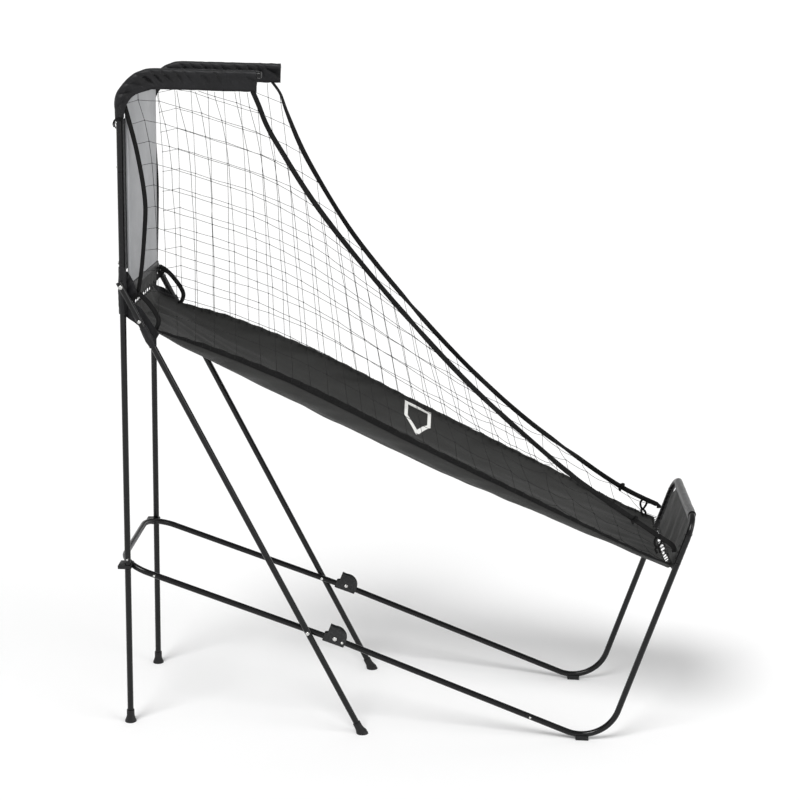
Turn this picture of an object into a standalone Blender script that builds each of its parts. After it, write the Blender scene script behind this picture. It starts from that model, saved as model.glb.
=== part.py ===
"""Folding pitching practice target with a ball return.

Two bent rear posts carry a target board under a pair of forward arms.  Side nets hang from the arms
to a sloping fabric trough, and the trough brings the ball down to a low hoop at the front.  The front
of the frame folds up about two riveted hinges, held shut by sprung lock pins.

Plan frame: X = 0 at the rear posts, +X towards the hoop, Y = 0 on the mid plane, Z = 0 on the floor.
An empty moves the whole object so that the origin is the centre of its base.
"""
import math

import bmesh
import bpy
from mathutils import Matrix, Vector

# ---------------------------------------------------------------- driving dimensions (metres)
TUBE_R = 0.0095
WALL = 0.0012
FIT = 0.0003
BORE = TUBE_R + FIT
SPIGOT_R = TUBE_R - WALL - 2 * FIT
SPIGOT_LEN = 0.040
SHANK_R = 0.0028

POST_Y = 0.2355
BASE_Y = 0.2345
STRUT_Y = 0.2552

LEG_TOP = 0.516
UPRIGHT_BOTTOM = 0.530
UPRIGHT_TOP = 1.750
ARM_Z = 2.040
ARM_END = 0.4125
ARM_BEND = 0.110

STRUT_FOOT_X = 0.7424
STRUT_TOP_Z = 1.411
STRUT_OVER = 0.016

PIVOT = Vector((0.651, 0.0, 0.311))
BASE_SLOPE = -0.340
BASE_AT_PIVOT = 0.3047
FRONT_SLOPE = -0.383
FRONT_AT_PIVOT = 0.3075
BOW_X = -0.0245
BOW_BEND = 0.095
BOW_JOINT_X = 0.105

FRONT_JOINT_X = 1.2553
FRONT_BEND = 0.120
HOOP_LEAN = 0.310
HOOP_BASE_X = 1.5440
HOOP_BASE_Z = 0.090
HOOP_JOINT_Z = 0.600
HOOP_TOP_Z = 0.738
HOOP_BEND = 0.065

BOARD_X = 0.0131
BOARD_T = 0.008
BOARD_HALF = 0.2215
BOARD_Z = (1.415, 1.990)
STRIP_Z = (1.462, 1.905)
BOARD_BOLTS = (("lower", 1.480, "upright"), ("upper", 1.893, "top_arm"))
SLEEVE_R = 0.0130
SLEEVE_BORE = 0.0100
SLEEVE_END = 0.404
SLEEVE_START = 1.907
FLAP_Z = 1.993
FLAP_T = 0.004

TROUGH_HALF = 0.215
CLOTH_T = 0.002
NET_T = 0.0016
STRAP_W = 0.025

# X, edge height and depth of the trough, rear to front
TROUGH_STATIONS = (
    (0.018, 1.312, 0.085), (0.100, 1.277, 0.078), (0.260, 1.234, 0.118), (0.470, 1.158, 0.139),
    (0.610, 1.098, 0.150), (0.865, 0.973, 0.137), (1.087, 0.868, 0.120), (1.300, 0.768, 0.093),
    (1.470, 0.686, 0.086), (1.665, 0.596, 0.073),
)
# free front border of a side net, arm to hoop
NET_BORDER = (
    (0.410, 1.980), (0.479, 1.836), (0.604, 1.618), (0.800, 1.390), (0.978, 1.180),
    (1.165, 0.995), (1.340, 0.855), (1.560, 0.702), (1.680, 0.635),
)
# rear border of a side net, post to trough
NET_REAR = ((0.030, 1.400), (0.050, 1.500), (0.056, 1.640), (0.052, 1.760), (0.046, 1.880), (0.070, 1.975))

MATERIALS = {
    "tube": ((0.020, 0.020, 0.022), 0.30, 0.0),
    "plastic": ((0.015, 0.015, 0.016), 0.50, 0.0),
    "bracket": ((0.030, 0.031, 0.032), 0.40, 0.0),
    "zinc": ((0.620, 0.620, 0.600), 0.25, 1.0),
    "board": ((0.300, 0.300, 0.300), 0.70, 0.0),
    "cloth": ((0.038, 0.038, 0.037), 0.85, 0.0),
    "net": ((0.025, 0.025, 0.025), 0.80, 0.0),
    "webbing": ((0.018, 0.018, 0.018), 0.80, 0.0),
}
SIDES = (("right", -1.0), ("left", 1.0))


# ---------------------------------------------------------------- scene and helpers
def start_scene():
    for obj in list(bpy.data.objects):
        bpy.data.objects.remove(obj, do_unlink=True)
    parts = bpy.data.collections.new("pitching_practice_target")
    cutters = bpy.data.collections.new("cutters")
    for collection in (parts, cutters):
        bpy.context.scene.collection.children.link(collection)
    return parts, cutters


PARTS, CUTTERS = start_scene()


def empty(name, location, parent=None):
    obj = bpy.data.objects.new(name, None)
    PARTS.objects.link(obj)
    obj.location = location
    obj.parent = parent
    return obj


def material(obj, slot):
    colour, rough, metal = MATERIALS[slot]
    mat = bpy.data.materials.new(obj.name)
    mat.use_nodes = True
    shader = mat.node_tree.nodes["Principled BSDF"]
    shader.inputs["Base Color"].default_value = (*colour, 1.0)
    shader.inputs["Roughness"].default_value = rough
    shader.inputs["Metallic"].default_value = metal
    obj.data.materials.clear()
    obj.data.materials.append(mat)


def adopt(obj, slot, parent, at=(0.0, 0.0, 0.0)):
    """Parent a piece built in plan coordinates; `at` is the parent's own plan position."""
    obj.parent = parent
    obj.matrix_parent_inverse = Matrix.Translation(-Vector(at))
    material(obj, slot)
    return obj


def mesh_object(name, bm, collection=None):
    mesh = bpy.data.meshes.new(name)
    bm.to_mesh(mesh)
    bm.free()
    obj = bpy.data.objects.new(name, mesh)
    (collection or PARTS).objects.link(obj)
    return obj


def as_mesh(obj):
    """Turn a curve or modified object into a plain mesh object of the same name."""
    bpy.context.view_layer.update()
    graph = bpy.context.evaluated_depsgraph_get()
    mesh = bpy.data.meshes.new_from_object(obj.evaluated_get(graph))
    bm = bmesh.new()
    bm.from_mesh(mesh)
    bmesh.ops.remove_doubles(bm, verts=bm.verts, dist=0.00001)
    bmesh.ops.recalc_face_normals(bm, faces=bm.faces)
    name, matrix, home = obj.name, obj.matrix_world.copy(), obj.users_collection[0]
    bpy.data.objects.remove(obj, do_unlink=True)
    bpy.data.meshes.remove(mesh)
    new = mesh_object(name, bm, home)
    new.matrix_world = matrix
    return new


def boolean(obj, other, operation="DIFFERENCE"):
    other.parent = FRAME
    other.hide_render = True
    other.display_type = "WIRE"
    mod = obj.modifiers.new(operation.lower(), "BOOLEAN")
    mod.operation = operation
    mod.solver = "EXACT"
    mod.object = other
    return obj


def smooth(obj, angle=35.0):
    obj.data.shade_smooth()
    obj.data.set_sharp_from_angle(angle=math.radians(angle))
    return obj


def aim(obj, start, direction):
    obj.location = start
    obj.rotation_mode = "QUATERNION"
    obj.rotation_quaternion = Vector(direction).to_track_quat("Z", "Y")
    return obj


def turned(name, profile, start, direction, closed=False, steps=14, collection=None):
    """Solid of revolution about local Z; the profile runs down its outer side."""
    bm = bmesh.new()
    verts = [bm.verts.new((r, 0.0, z)) for r, z in profile]
    for a, b in zip(verts, verts[1:]):
        bm.edges.new((a, b))
    if closed:
        bm.edges.new((verts[-1], verts[0]))
    obj = mesh_object(name, bm, collection)
    screw = obj.modifiers.new("screw", "SCREW")
    screw.steps = steps
    screw.render_steps = steps
    screw.use_merge_vertices = True
    screw.merge_threshold = 0.00001
    screw.use_smooth_shade = True
    return aim(obj, start, direction)


def straight_tube(name, start, end, spigot=False):
    """Open steel tube; a spigot is the reduced end that slides into the next tube."""
    start, end = Vector(start), Vector(end)
    length = (end - start).length
    bore = TUBE_R - WALL
    if spigot:
        profile = [
            (SPIGOT_R, length + SPIGOT_LEN), (SPIGOT_R, length), (TUBE_R, length), (TUBE_R, 0.0),
            (bore, 0.0), (bore, length - 0.004), (SPIGOT_R - WALL, length + 0.002),
            (SPIGOT_R - WALL, length + SPIGOT_LEN),
        ]
    else:
        profile = [(TUBE_R, length), (TUBE_R, 0.0), (bore, 0.0), (bore, length)]
    return turned(name, profile, start, end - start, closed=True)


def rounded(corners, radius, steps=7):
    """Points of a path whose inner corners are arcs of one radius."""
    corners = [Vector(c) for c in corners]
    points = [corners[0]]
    for before, corner, after in zip(corners, corners[1:], corners[2:]):
        back, ahead = (before - corner).normalized(), (after - corner).normalized()
        half = back.angle(ahead) / 2.0
        reach = radius / math.tan(half)
        centre = corner + (back + ahead).normalized() * (radius / math.sin(half))
        first = corner + back * reach - centre
        last = corner + ahead * reach - centre
        for i in range(steps + 1):
            points.append(centre + first.slerp(last, i / steps) * radius)
    points.append(corners[-1])
    return points


def path_tube(name, points, radius, collection=None, caps=True, sides=4):
    curve = bpy.data.curves.new(name, "CURVE")
    curve.dimensions = "3D"
    curve.bevel_depth = radius
    curve.bevel_resolution = sides
    curve.use_fill_caps = caps
    curve.twist_mode = "MINIMUM"
    spline = curve.splines.new("POLY")
    spline.points.add(len(points) - 1)
    for point, place in zip(spline.points, points):
        point.co = (*place, 1.0)
    spline.use_smooth = True
    obj = bpy.data.objects.new(name, curve)
    (collection or PARTS).objects.link(obj)
    return obj


def bent_tube(name, points):
    obj = path_tube(name, points, TUBE_R, caps=False)
    skin = obj.modifiers.new("wall", "SOLIDIFY")
    skin.thickness = WALL
    skin.offset = -1.0
    return obj


def plate(name, outline, thickness, y, collection=None):
    """Flat piece lying in an XZ plane, centred on y, from its outline of (x, z) points."""
    curve = bpy.data.curves.new(name, "CURVE")
    curve.dimensions = "2D"
    curve.fill_mode = "BOTH"
    curve.extrude = thickness / 2.0
    spline = curve.splines.new("POLY")
    spline.points.add(len(outline) - 1)
    for point, (x, z) in zip(spline.points, outline):
        point.co = (x, z, 0.0, 1.0)
    spline.use_cyclic_u = True
    obj = bpy.data.objects.new(name, curve)
    (collection or PARTS).objects.link(obj)
    obj.rotation_euler = (math.radians(90.0), 0.0, 0.0)
    obj.location = (0.0, y, 0.0)
    return as_mesh(obj)


def block(name, low, high, bevel=0.0, collection=None):
    low, high = Vector(low), Vector(high)
    bm = bmesh.new()
    bmesh.ops.create_cube(bm, size=1.0)
    bmesh.ops.scale(bm, vec=high - low, verts=bm.verts)
    bmesh.ops.translate(bm, vec=(low + high) / 2.0, verts=bm.verts)
    obj = mesh_object(name, bm, collection)
    if bevel:
        edge = obj.modifiers.new("edges", "BEVEL")
        edge.width = bevel
        edge.segments = 2
    return obj


def bolt(name, start, direction, length):
    """Domed head at the start, shank running along the direction, and a thin nut at its far end."""
    dome, head, nut = 0.0026, 0.0060, 0.0048
    profile = [
        (0.0, length + 0.0030), (nut, length + 0.0030), (nut, length), (SHANK_R, length),
        (SHANK_R, 0.0), (head, 0.0), (head, -dome * 0.4), (head * 0.6, -dome), (0.0, -dome * 1.1),
    ]
    return turned(name, profile, start, direction, steps=12)


def drill_profile(half, radius=None):
    radius = radius or SHANK_R + FIT
    return [(0.0, half), (radius, half), (radius, -half), (0.0, -half)]


def offset_line(points, distance):
    """A polyline moved sideways in its plane, to the left of its direction."""
    moved = []
    for i, point in enumerate(points):
        before = Vector(points[max(i - 1, 0)])
        after = Vector(points[min(i + 1, len(points) - 1)])
        along = (after - before).normalized()
        moved.append((point[0] - along.y * distance, point[1] + along.x * distance))
    return moved


# ---------------------------------------------------------------- lines of the frame
def strut_z(x):
    return STRUT_TOP_Z * (1.0 - x / STRUT_FOOT_X)


def base_z(x):
    return BASE_AT_PIVOT + BASE_SLOPE * (x - PIVOT.x)


def front_z(x):
    return FRONT_AT_PIVOT + FRONT_SLOPE * (x - PIVOT.x)


def hoop_x(z):
    return HOOP_BASE_X + HOOP_LEAN * (z - HOOP_BASE_Z)


def front_corner():
    """Where the front tube and the leaning leg would meet without their bend."""
    x = (HOOP_BASE_X + HOOP_LEAN * (front_z(0.0) - HOOP_BASE_Z)) / (1.0 - HOOP_LEAN * FRONT_SLOPE)
    return x, front_z(x)


HOOP_FRONT = hoop_x(HOOP_TOP_Z) + SLEEVE_R
BOW_REAR = BOW_X - TUBE_R
FRAME = empty("frame_origin", (-(HOOP_FRONT + BOW_REAR) / 2.0, 0.0, 0.0))
FOLD = empty("front_fold_axis", PIVOT, FRAME)


def fixed(obj, slot):
    return adopt(obj, slot, FRAME)


def folding(obj, slot):
    return adopt(obj, slot, FOLD, PIVOT)


# ---------------------------------------------------------------- rear posts and arms
def foot_cap(name, place, direction):
    """Flared plastic cap on the end of a tube, cut flat by the floor."""
    direction = Vector(direction).normalized()
    top, floor = 0.040, -0.020
    profile = [
        (0.0, 0.010), (BORE, 0.010), (BORE, top), (0.0122, top), (0.0122, 0.022), (0.0180, 0.004),
        (0.0180, floor), (0.0, floor),
    ]
    cap = as_mesh(turned(name, profile, place, direction, steps=20))
    bm = bmesh.new()
    bm.from_mesh(cap.data)
    bm.transform(cap.matrix_world)
    bmesh.ops.remove_doubles(bm, verts=bm.verts, dist=0.00001)
    everything = bm.verts[:] + bm.edges[:] + bm.faces[:]
    cut = bmesh.ops.bisect_plane(
        bm, geom=everything, plane_co=(0, 0, 0), plane_no=(0, 0, -1), clear_outer=True
    )["geom_cut"]
    bmesh.ops.contextual_create(bm, geom=[g for g in cut if isinstance(g, bmesh.types.BMEdge)])
    bmesh.ops.recalc_face_normals(bm, faces=bm.faces)
    cap.matrix_world = Matrix.Identity(4)
    bm.to_mesh(cap.data)
    bm.free()
    return smooth(cap)


def arm_path(y, end, start):
    return rounded([(0, y, start), (0, y, ARM_Z), (end, y, ARM_Z)], ARM_BEND)


def post(side, sign):
    y = sign * POST_Y
    fixed(foot_cap(f"rear_foot_{side}", (0, y, 0), (0, 0, 1)), "plastic")
    fixed(straight_tube(f"rear_leg_{side}", (0, y, 0.0103), (0, y, LEG_TOP), spigot=True), "tube")
    fixed(straight_tube(f"upright_{side}", (0, y, UPRIGHT_BOTTOM), (0, y, UPRIGHT_TOP), spigot=True), "tube")
    fixed(as_mesh(bent_tube(f"top_arm_{side}", arm_path(y, ARM_END, UPRIGHT_TOP + FIT))), "tube")
    plug = [(0.0, 0.004), (0.0070, 0.004), (TUBE_R, 0.0025), (TUBE_R, 0.0), (SPIGOT_R, 0.0),
            (SPIGOT_R, -0.014), (0.0, -0.014)]
    fixed(turned(f"arm_cap_{side}", plug, (ARM_END + FIT, y, ARM_Z), (1, 0, 0)), "plastic")


def top_sleeve(side, sign):
    """Fabric sleeve over an arm, with the flap that the net is sewn to."""
    y = sign * POST_Y
    sleeve = as_mesh(path_tube(f"top_sleeve_{side}", arm_path(y, SLEEVE_END, SLEEVE_START), SLEEVE_R))
    outline = [(0.006, 1.925), (0.020, 1.912), (0.028, 1.945), (0.046, 1.975), (0.080, FLAP_Z),
               (SLEEVE_END, FLAP_Z), (SLEEVE_END, ARM_Z), (0.110, ARM_Z), (0.040, 2.014), (0.006, 1.955)]
    flap = plate(f"flap_{side}", outline, FLAP_T, y, CUTTERS)
    core = as_mesh(path_tube(f"arm_core_{side}", arm_path(y, SLEEVE_END + 0.02, SLEEVE_START - 0.02),
                             SLEEVE_BORE, CUTTERS))
    boolean(sleeve, flap, "UNION")
    boolean(sleeve, core)
    fixed(smooth(sleeve), "cloth")


def clamp(side, sign):
    """Moulded saddle that ties the rear bow to the post, round the gap between its two tubes."""
    y = sign * POST_Y
    low = (-0.030, min(y + sign * 0.012, y - sign * 0.040), LEG_TOP + 0.001)
    high = (0.012, max(y + sign * 0.012, y - sign * 0.040), UPRIGHT_BOTTOM - 0.001)
    body = block(f"bow_clamp_{side}", low, high, 0.002)
    spigot = as_mesh(path_tube(f"clamp_bore_{side}", [Vector((0, y, 0.45)), Vector((0, y, 0.60))],
                               SPIGOT_R + FIT, CUTTERS))
    bow = as_mesh(path_tube(f"clamp_saddle_{side}", bow_path(), BORE, CUTTERS))
    boolean(body, spigot)
    boolean(body, bow)
    fixed(body, "plastic")


# ---------------------------------------------------------------- struts, bow and base tubes
def strut(side, sign):
    y = sign * STRUT_Y
    along = Vector((-STRUT_FOOT_X, 0.0, STRUT_TOP_Z)).normalized()
    foot = Vector((STRUT_FOOT_X, y, 0.0))
    top = Vector((0.0, y, STRUT_TOP_Z)) + along * STRUT_OVER
    fixed(foot_cap(f"strut_foot_{side}", foot, along), "plastic")
    fixed(straight_tube(f"strut_{side}", foot + along * 0.0103, top), "tube")


def bow_path():
    """Crossbar behind the posts, bent at both ends into the line of the base tubes."""
    left, right = (Vector((BOW_JOINT_X, sign * BASE_Y, base_z(BOW_JOINT_X))) for sign in (1.0, -1.0))
    corner_left = Vector((BOW_X, BASE_Y, base_z(BOW_X)))
    corner_right = Vector((BOW_X, -BASE_Y, base_z(BOW_X)))
    return rounded([left, corner_left, corner_right, right], BOW_BEND, 8)


def along_base(x, y):
    return Vector((x, y, base_z(x)))


def base(side, sign):
    y = sign * BASE_Y
    start = along_base(BOW_JOINT_X + FIT, y)
    end = along_base(PIVOT.x - 0.017, y)
    fixed(straight_tube(f"base_tube_{side}", end, start, spigot=True), "tube")


def tube_hole(obj, x, z, y, radius):
    """Bore across a tube, from side to side."""
    drill = turned(f"{obj.name}_drill", drill_profile(0.03, radius), (x, y, z), (0, 1, 0), steps=12,
                   collection=CUTTERS)
    boolean(obj, drill)


# ---------------------------------------------------------------- fold hinge
CHEEK_IN = 0.0098
CHEEK_T = 0.0018
CHEEK_R = 0.037
LIP_N = -0.0160
RIVET_R = 0.0040
PIN_R = 0.0025
PIN_U = 0.0255
PIN_N = -0.0036


def hinge_point(u, n):
    """Plan (x, z) of a point u forward along the base tube and n above it, from the rivet."""
    size = math.hypot(1.0, BASE_SLOPE)
    forward = Vector((1.0, BASE_SLOPE)) / size
    up = Vector((-BASE_SLOPE, 1.0)) / size
    spot = Vector((PIVOT.x, PIVOT.z)) + forward * u + up * n
    return spot.x, spot.y


def cheek_outline():
    arc = [(CHEEK_R * math.cos(a), CHEEK_R * math.sin(a))
           for a in (math.radians(105 - 10 * i) for i in range(12))]
    local = [(0.034, LIP_N - CHEEK_T), (-0.036, LIP_N - CHEEK_T), (-0.036, 0.006), (-0.027, 0.010),
             (-0.0265, 0.0368)] + arc
    return [hinge_point(u, n) for u, n in local]


def hinge_bracket(side, sign):
    """Pressed channel: two cheeks and the lip under them that stops the front tube."""
    y = sign * BASE_Y
    outer = CHEEK_IN + CHEEK_T
    bracket = plate(f"hinge_bracket_{side}", cheek_outline(), 2 * outer, y)
    slot = [hinge_point(u, n) for u, n in ((-0.06, LIP_N), (0.06, LIP_N), (0.06, 0.06), (-0.06, 0.06))]
    boolean(bracket, plate(f"hinge_slot_{side}", slot, 2 * CHEEK_IN, y, CUTTERS))
    tube_hole(bracket, PIVOT.x, PIVOT.z, y, RIVET_R + FIT)
    pin_x, pin_z = hinge_point(PIN_U, PIN_N)
    hole = [(0.0, 0.02), (PIN_R + FIT, 0.02), (PIN_R + FIT, -0.002), (0.0, -0.002)]
    boolean(bracket, turned(f"pin_hole_{side}", hole, (pin_x, y + sign * CHEEK_IN, pin_z),
                            (0, sign, 0), steps=12, collection=CUTTERS))
    fixed(bracket, "bracket")

    head = outer + FIT
    rivet = [(0.0, head + 0.0028), (0.0038, head + 0.0024), (0.0064, head + 0.0010), (0.0064, head),
             (RIVET_R, head), (RIVET_R, -head), (0.0064, -head), (0.0064, -head - 0.0010),
             (0.0038, -head - 0.0024), (0.0, -head - 0.0028)]
    fixed(turned(f"hinge_rivet_{side}", rivet, (PIVOT.x, y, PIVOT.z), (0, sign, 0)), "zinc")

    knob = [(0.0, 0.0056), (0.0032, 0.0050), (0.0042, 0.0036), (0.0042, CHEEK_T + FIT),
            (PIN_R, CHEEK_T + FIT), (PIN_R, 0.0), (0.0, 0.0)]
    pin = turned(f"lock_pin_{side}", knob, (pin_x, y + sign * CHEEK_IN, pin_z), (0, sign, 0), steps=12)
    fixed(pin, "zinc")


def knuckle(side, sign):
    """Cast ear that turns on the rivet and plugs the front tube."""
    y = sign * BASE_Y
    centre = Vector((PIVOT.x, y, PIVOT.z))
    ear = turned(f"front_knuckle_{side}", [(0.0, TUBE_R), (0.0125, TUBE_R), (0.0125, -TUBE_R), (0.0, -TUBE_R)],
                 centre, (0, 1, 0), steps=20)
    along = Vector((1.0, 0.0, FRONT_SLOPE)).normalized()
    on_axis = Vector((PIVOT.x, y, FRONT_AT_PIVOT))
    neck = [(0.0, 0.046), (SPIGOT_R, 0.046), (SPIGOT_R, 0.0177), (TUBE_R - 0.0002, 0.0177),
            (TUBE_R - 0.0002, 0.0), (0.0, 0.0)]
    boolean(ear, turned(f"knuckle_neck_{side}", neck, on_axis, along, collection=CUTTERS), "UNION")
    tube_hole(ear, PIVOT.x, PIVOT.z, y, RIVET_R + FIT)
    folding(ear, "bracket")
    return on_axis + along * 0.018


# ---------------------------------------------------------------- front frame
def front_path(y):
    corner_x, corner_z = front_corner()
    return rounded([(FRONT_JOINT_X + FIT, y, front_z(FRONT_JOINT_X + FIT)), (corner_x, y, corner_z),
                    (hoop_x(HOOP_JOINT_Z), y, HOOP_JOINT_Z)], FRONT_BEND, 8)


def front_side(side, sign):
    y = sign * BASE_Y
    start = knuckle(side, sign)
    end = (FRONT_JOINT_X, y, front_z(FRONT_JOINT_X))
    folding(straight_tube(f"front_tube_{side}", start, end, spigot=True), "tube")
    folding(bent_tube(f"front_leg_{side}", front_path(y)), "tube")

    lowest = min(front_path(y), key=lambda p: p.z)
    clip = block(f"front_foot_{side}", (lowest.x - 0.020, y - 0.0125, 0.0), (lowest.x + 0.020, y + 0.0125, 0.0150),
                 0.0015)
    groove = as_mesh(path_tube(f"foot_groove_{side}", front_path(y), BORE + FIT, CUTTERS))
    boolean(clip, groove)
    folding(clip, "plastic")


def hoop_path(grow=0.0):
    z = HOOP_JOINT_Z + FIT - grow
    x, top = hoop_x(z), hoop_x(HOOP_TOP_Z)
    return rounded([(x, -BASE_Y, z), (top, -BASE_Y, HOOP_TOP_Z), (top, BASE_Y, HOOP_TOP_Z), (x, BASE_Y, z)],
                   HOOP_BEND)


def hoop():
    folding(bent_tube("front_hoop", hoop_path()), "tube")
    half = BASE_Y - HOOP_BEND
    top = Vector((hoop_x(HOOP_TOP_Z), 0.0, HOOP_TOP_Z))
    panel = as_mesh(path_tube("front_panel", [top - Vector((0, half, 0)), top + Vector((0, half, 0))], SLEEVE_R))
    low_z = 0.560
    thick = Vector((CLOTH_T, 0.0, -CLOTH_T * HOOP_LEAN)) / 2.0
    low = Vector((hoop_x(low_z), 0.0, low_z))
    outline = [top - thick, top + thick, low + thick, low - thick]
    sheet = plate("panel_sheet", [(p.x, p.z) for p in outline], 2 * (BASE_Y - 0.030), 0.0, CUTTERS)
    boolean(panel, sheet, "UNION")
    core = as_mesh(path_tube("hoop_core", hoop_path(), SLEEVE_BORE, CUTTERS))
    boolean(panel, core)
    folding(panel, "cloth")


# ---------------------------------------------------------------- target board and fabric
def board():
    front = BOARD_X + BOARD_T
    low, high = BOARD_Z
    fixed(block("target_board", (BOARD_X, -BOARD_HALF, low), (front, BOARD_HALF, high), 0.002), "board")
    fixed(block("board_rail", (BOARD_X - 0.002, -BOARD_HALF, low - 0.0203), (front + 0.002, BOARD_HALF, low - FIT),
                0.003), "plastic")


def board_strip(side, sign):
    """Steel strip behind the edge of the board, with two bolts through the post."""
    y = sign * POST_Y
    inner, outer = sorted((sign * 0.200, y + sign * 0.0065))
    strip = block(f"board_strip_{side}", (TUBE_R + FIT, inner, STRIP_Z[0]), (BOARD_X - FIT, outer, STRIP_Z[1]))
    for level, z, tube in BOARD_BOLTS:
        drill = turned(f"{level}_board_drill_{side}", drill_profile(0.05), (0, y, z), (1, 0, 0), steps=13,
                       collection=CUTTERS)
        boolean(strip, drill)
        boolean(bpy.data.objects[f"{tube}_{side}"], drill)
        rear = -(TUBE_R + FIT)
        shank = [(0.0, BOARD_X - FIT - rear), (SHANK_R, BOARD_X - FIT - rear), (SHANK_R, 0.0), (0.0050, 0.0),
                 (0.0050, -0.0012), (0.0030, -0.0028), (0.0, -0.0030)]
        fixed(turned(f"{level}_board_bolt_{side}", shank, (rear, y, z), (1, 0, 0), steps=12), "zinc")
    fixed(strip, "bracket")


def trough():
    """Sagging fabric channel, lofted through its stations."""
    across = 14
    bm = bmesh.new()
    rows = []
    for x, edge, depth in TROUGH_STATIONS:
        row = []
        for i in range(across + 1):
            a = math.pi * (i / across - 0.5)
            row.append(bm.verts.new((x, TROUGH_HALF * math.sin(a), edge - depth * math.cos(a))))
        rows.append(row)
    for row, after in zip(rows, rows[1:]):
        for i in range(across):
            bm.faces.new((row[i], row[i + 1], after[i + 1], after[i]))
    bmesh.ops.recalc_face_normals(bm, faces=bm.faces)
    obj = mesh_object("trough", bm)
    skin = obj.modifiers.new("cloth", "SOLIDIFY")
    skin.thickness = CLOTH_T
    skin.offset = 0.0
    fixed(smooth(obj, 60.0), "cloth")


def curtain():
    """Rear wall of fabric between the board and the end of the trough."""
    _, edge, depth = TROUGH_STATIONS[0]
    half = TROUGH_HALF - 0.010
    steps = 12
    bowl = [(half * math.cos(math.pi * i / steps), edge - (depth - 0.004) * math.sin(math.pi * i / steps))
            for i in range(steps + 1)]
    top = BOARD_Z[0] - 0.021
    bm = bmesh.new()
    ring = [bm.verts.new((0.0150, y, z)) for y, z in [(half, top)] + bowl + [(-half, top)]]
    bm.faces.new(ring)
    obj = mesh_object("rear_curtain", bm)
    skin = obj.modifiers.new("cloth", "SOLIDIFY")
    skin.thickness = CLOTH_T
    skin.offset = 0.0
    fixed(obj, "cloth")


def net(side, sign):
    y = sign * BASE_Y
    inner = offset_line(NET_BORDER, -(STRAP_W / 2.0 + FIT))
    left = offset_line(NET_BORDER, STRAP_W / 2.0)
    right = offset_line(NET_BORDER, -STRAP_W / 2.0)
    fixed(plate(f"net_border_{side}", left + right[::-1], NET_T, y), "webbing")
    edge = [(x, z + 0.006) for x, z, _ in TROUGH_STATIONS[1:-1]]
    outline = [(0.085, FLAP_Z - 0.003)] + inner + edge[::-1] + list(NET_REAR)
    fixed(plate(f"side_net_{side}", outline, NET_T, y), "net")


def corner_strap(side, sign):
    """Bowed strap from the board rail down to the rear end of the trough."""
    y = sign * 0.2185
    centre = [(0.036, 1.385), (0.062, 1.365), (0.088, 1.335), (0.103, 1.305), (0.096, 1.288)]
    outline = offset_line(centre, 0.006) + offset_line(centre, -0.006)[::-1]
    fixed(plate(f"corner_strap_{side}", outline, 0.003, y), "webbing")


def corner_wrap(side, sign):
    """Fabric gusset inside each post, between the post and the trough."""
    y = sign * 0.2238
    outline = [(-0.010, 1.460), (-0.010, 1.310), (0.030, 1.290), (0.070, 1.260), (0.092, 1.236),
               (0.112, 1.246), (0.098, 1.275), (0.040, 1.345), (0.026, 1.410), (0.012, 1.460)]
    wrap = plate(f"corner_wrap_{side}", outline, 0.002, y)
    tube_hole(wrap, 0.0, STRUT_TOP_Z, y, 0.0065)
    fixed(wrap, "cloth")


# ---------------------------------------------------------------- fasteners
def fasteners(side, sign):
    y_post, y_strut, y_base = (sign * v for v in (POST_Y, STRUT_Y, BASE_Y))
    outside = STRUT_Y + TUBE_R + FIT
    inward = Vector((0.0, -sign, 0.0))
    through_post = outside - (POST_Y - TUBE_R) + FIT
    through_base = outside - (BASE_Y - TUBE_R) + FIT
    pivot_x = (STRUT_TOP_Z - base_z(0.0)) / (STRUT_TOP_Z / STRUT_FOOT_X + BASE_SLOPE)
    for label, x, z, length in (("strut_top_bolt", 0.0, STRUT_TOP_Z, through_post),
                                ("strut_pivot_bolt", pivot_x, strut_z(pivot_x), through_base)):
        fixed(bolt(f"{label}_{side}", (x, sign * outside, z), inward, length), "zinc")
    for name, x, z, y in ((f"strut_{side}", 0.0, STRUT_TOP_Z, y_strut),
                          (f"strut_{side}", pivot_x, strut_z(pivot_x), y_strut),
                          (f"upright_{side}", 0.0, STRUT_TOP_Z, y_post),
                          (f"base_tube_{side}", pivot_x, base_z(pivot_x), y_base)):
        tube_hole(bpy.data.objects[name], x, z, y, SHANK_R + FIT)


def build():
    for side, sign in SIDES:
        post(side, sign)
        top_sleeve(side, sign)
        strut(side, sign)
        base(side, sign)
        clamp(side, sign)
        hinge_bracket(side, sign)
        front_side(side, sign)
        net(side, sign)
        corner_strap(side, sign)
        corner_wrap(side, sign)
        board_strip(side, sign)
        fasteners(side, sign)
    fixed(bent_tube("rear_bow", bow_path()), "tube")
    hoop()
    board()
    trough()
    curtain()


build()
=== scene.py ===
"""Looks of a folding pitching practice target: black tube frame, cord nets, sagging cloth trough."""
import math

import bmesh
import bpy
from mathutils import Matrix, Vector, noise


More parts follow.
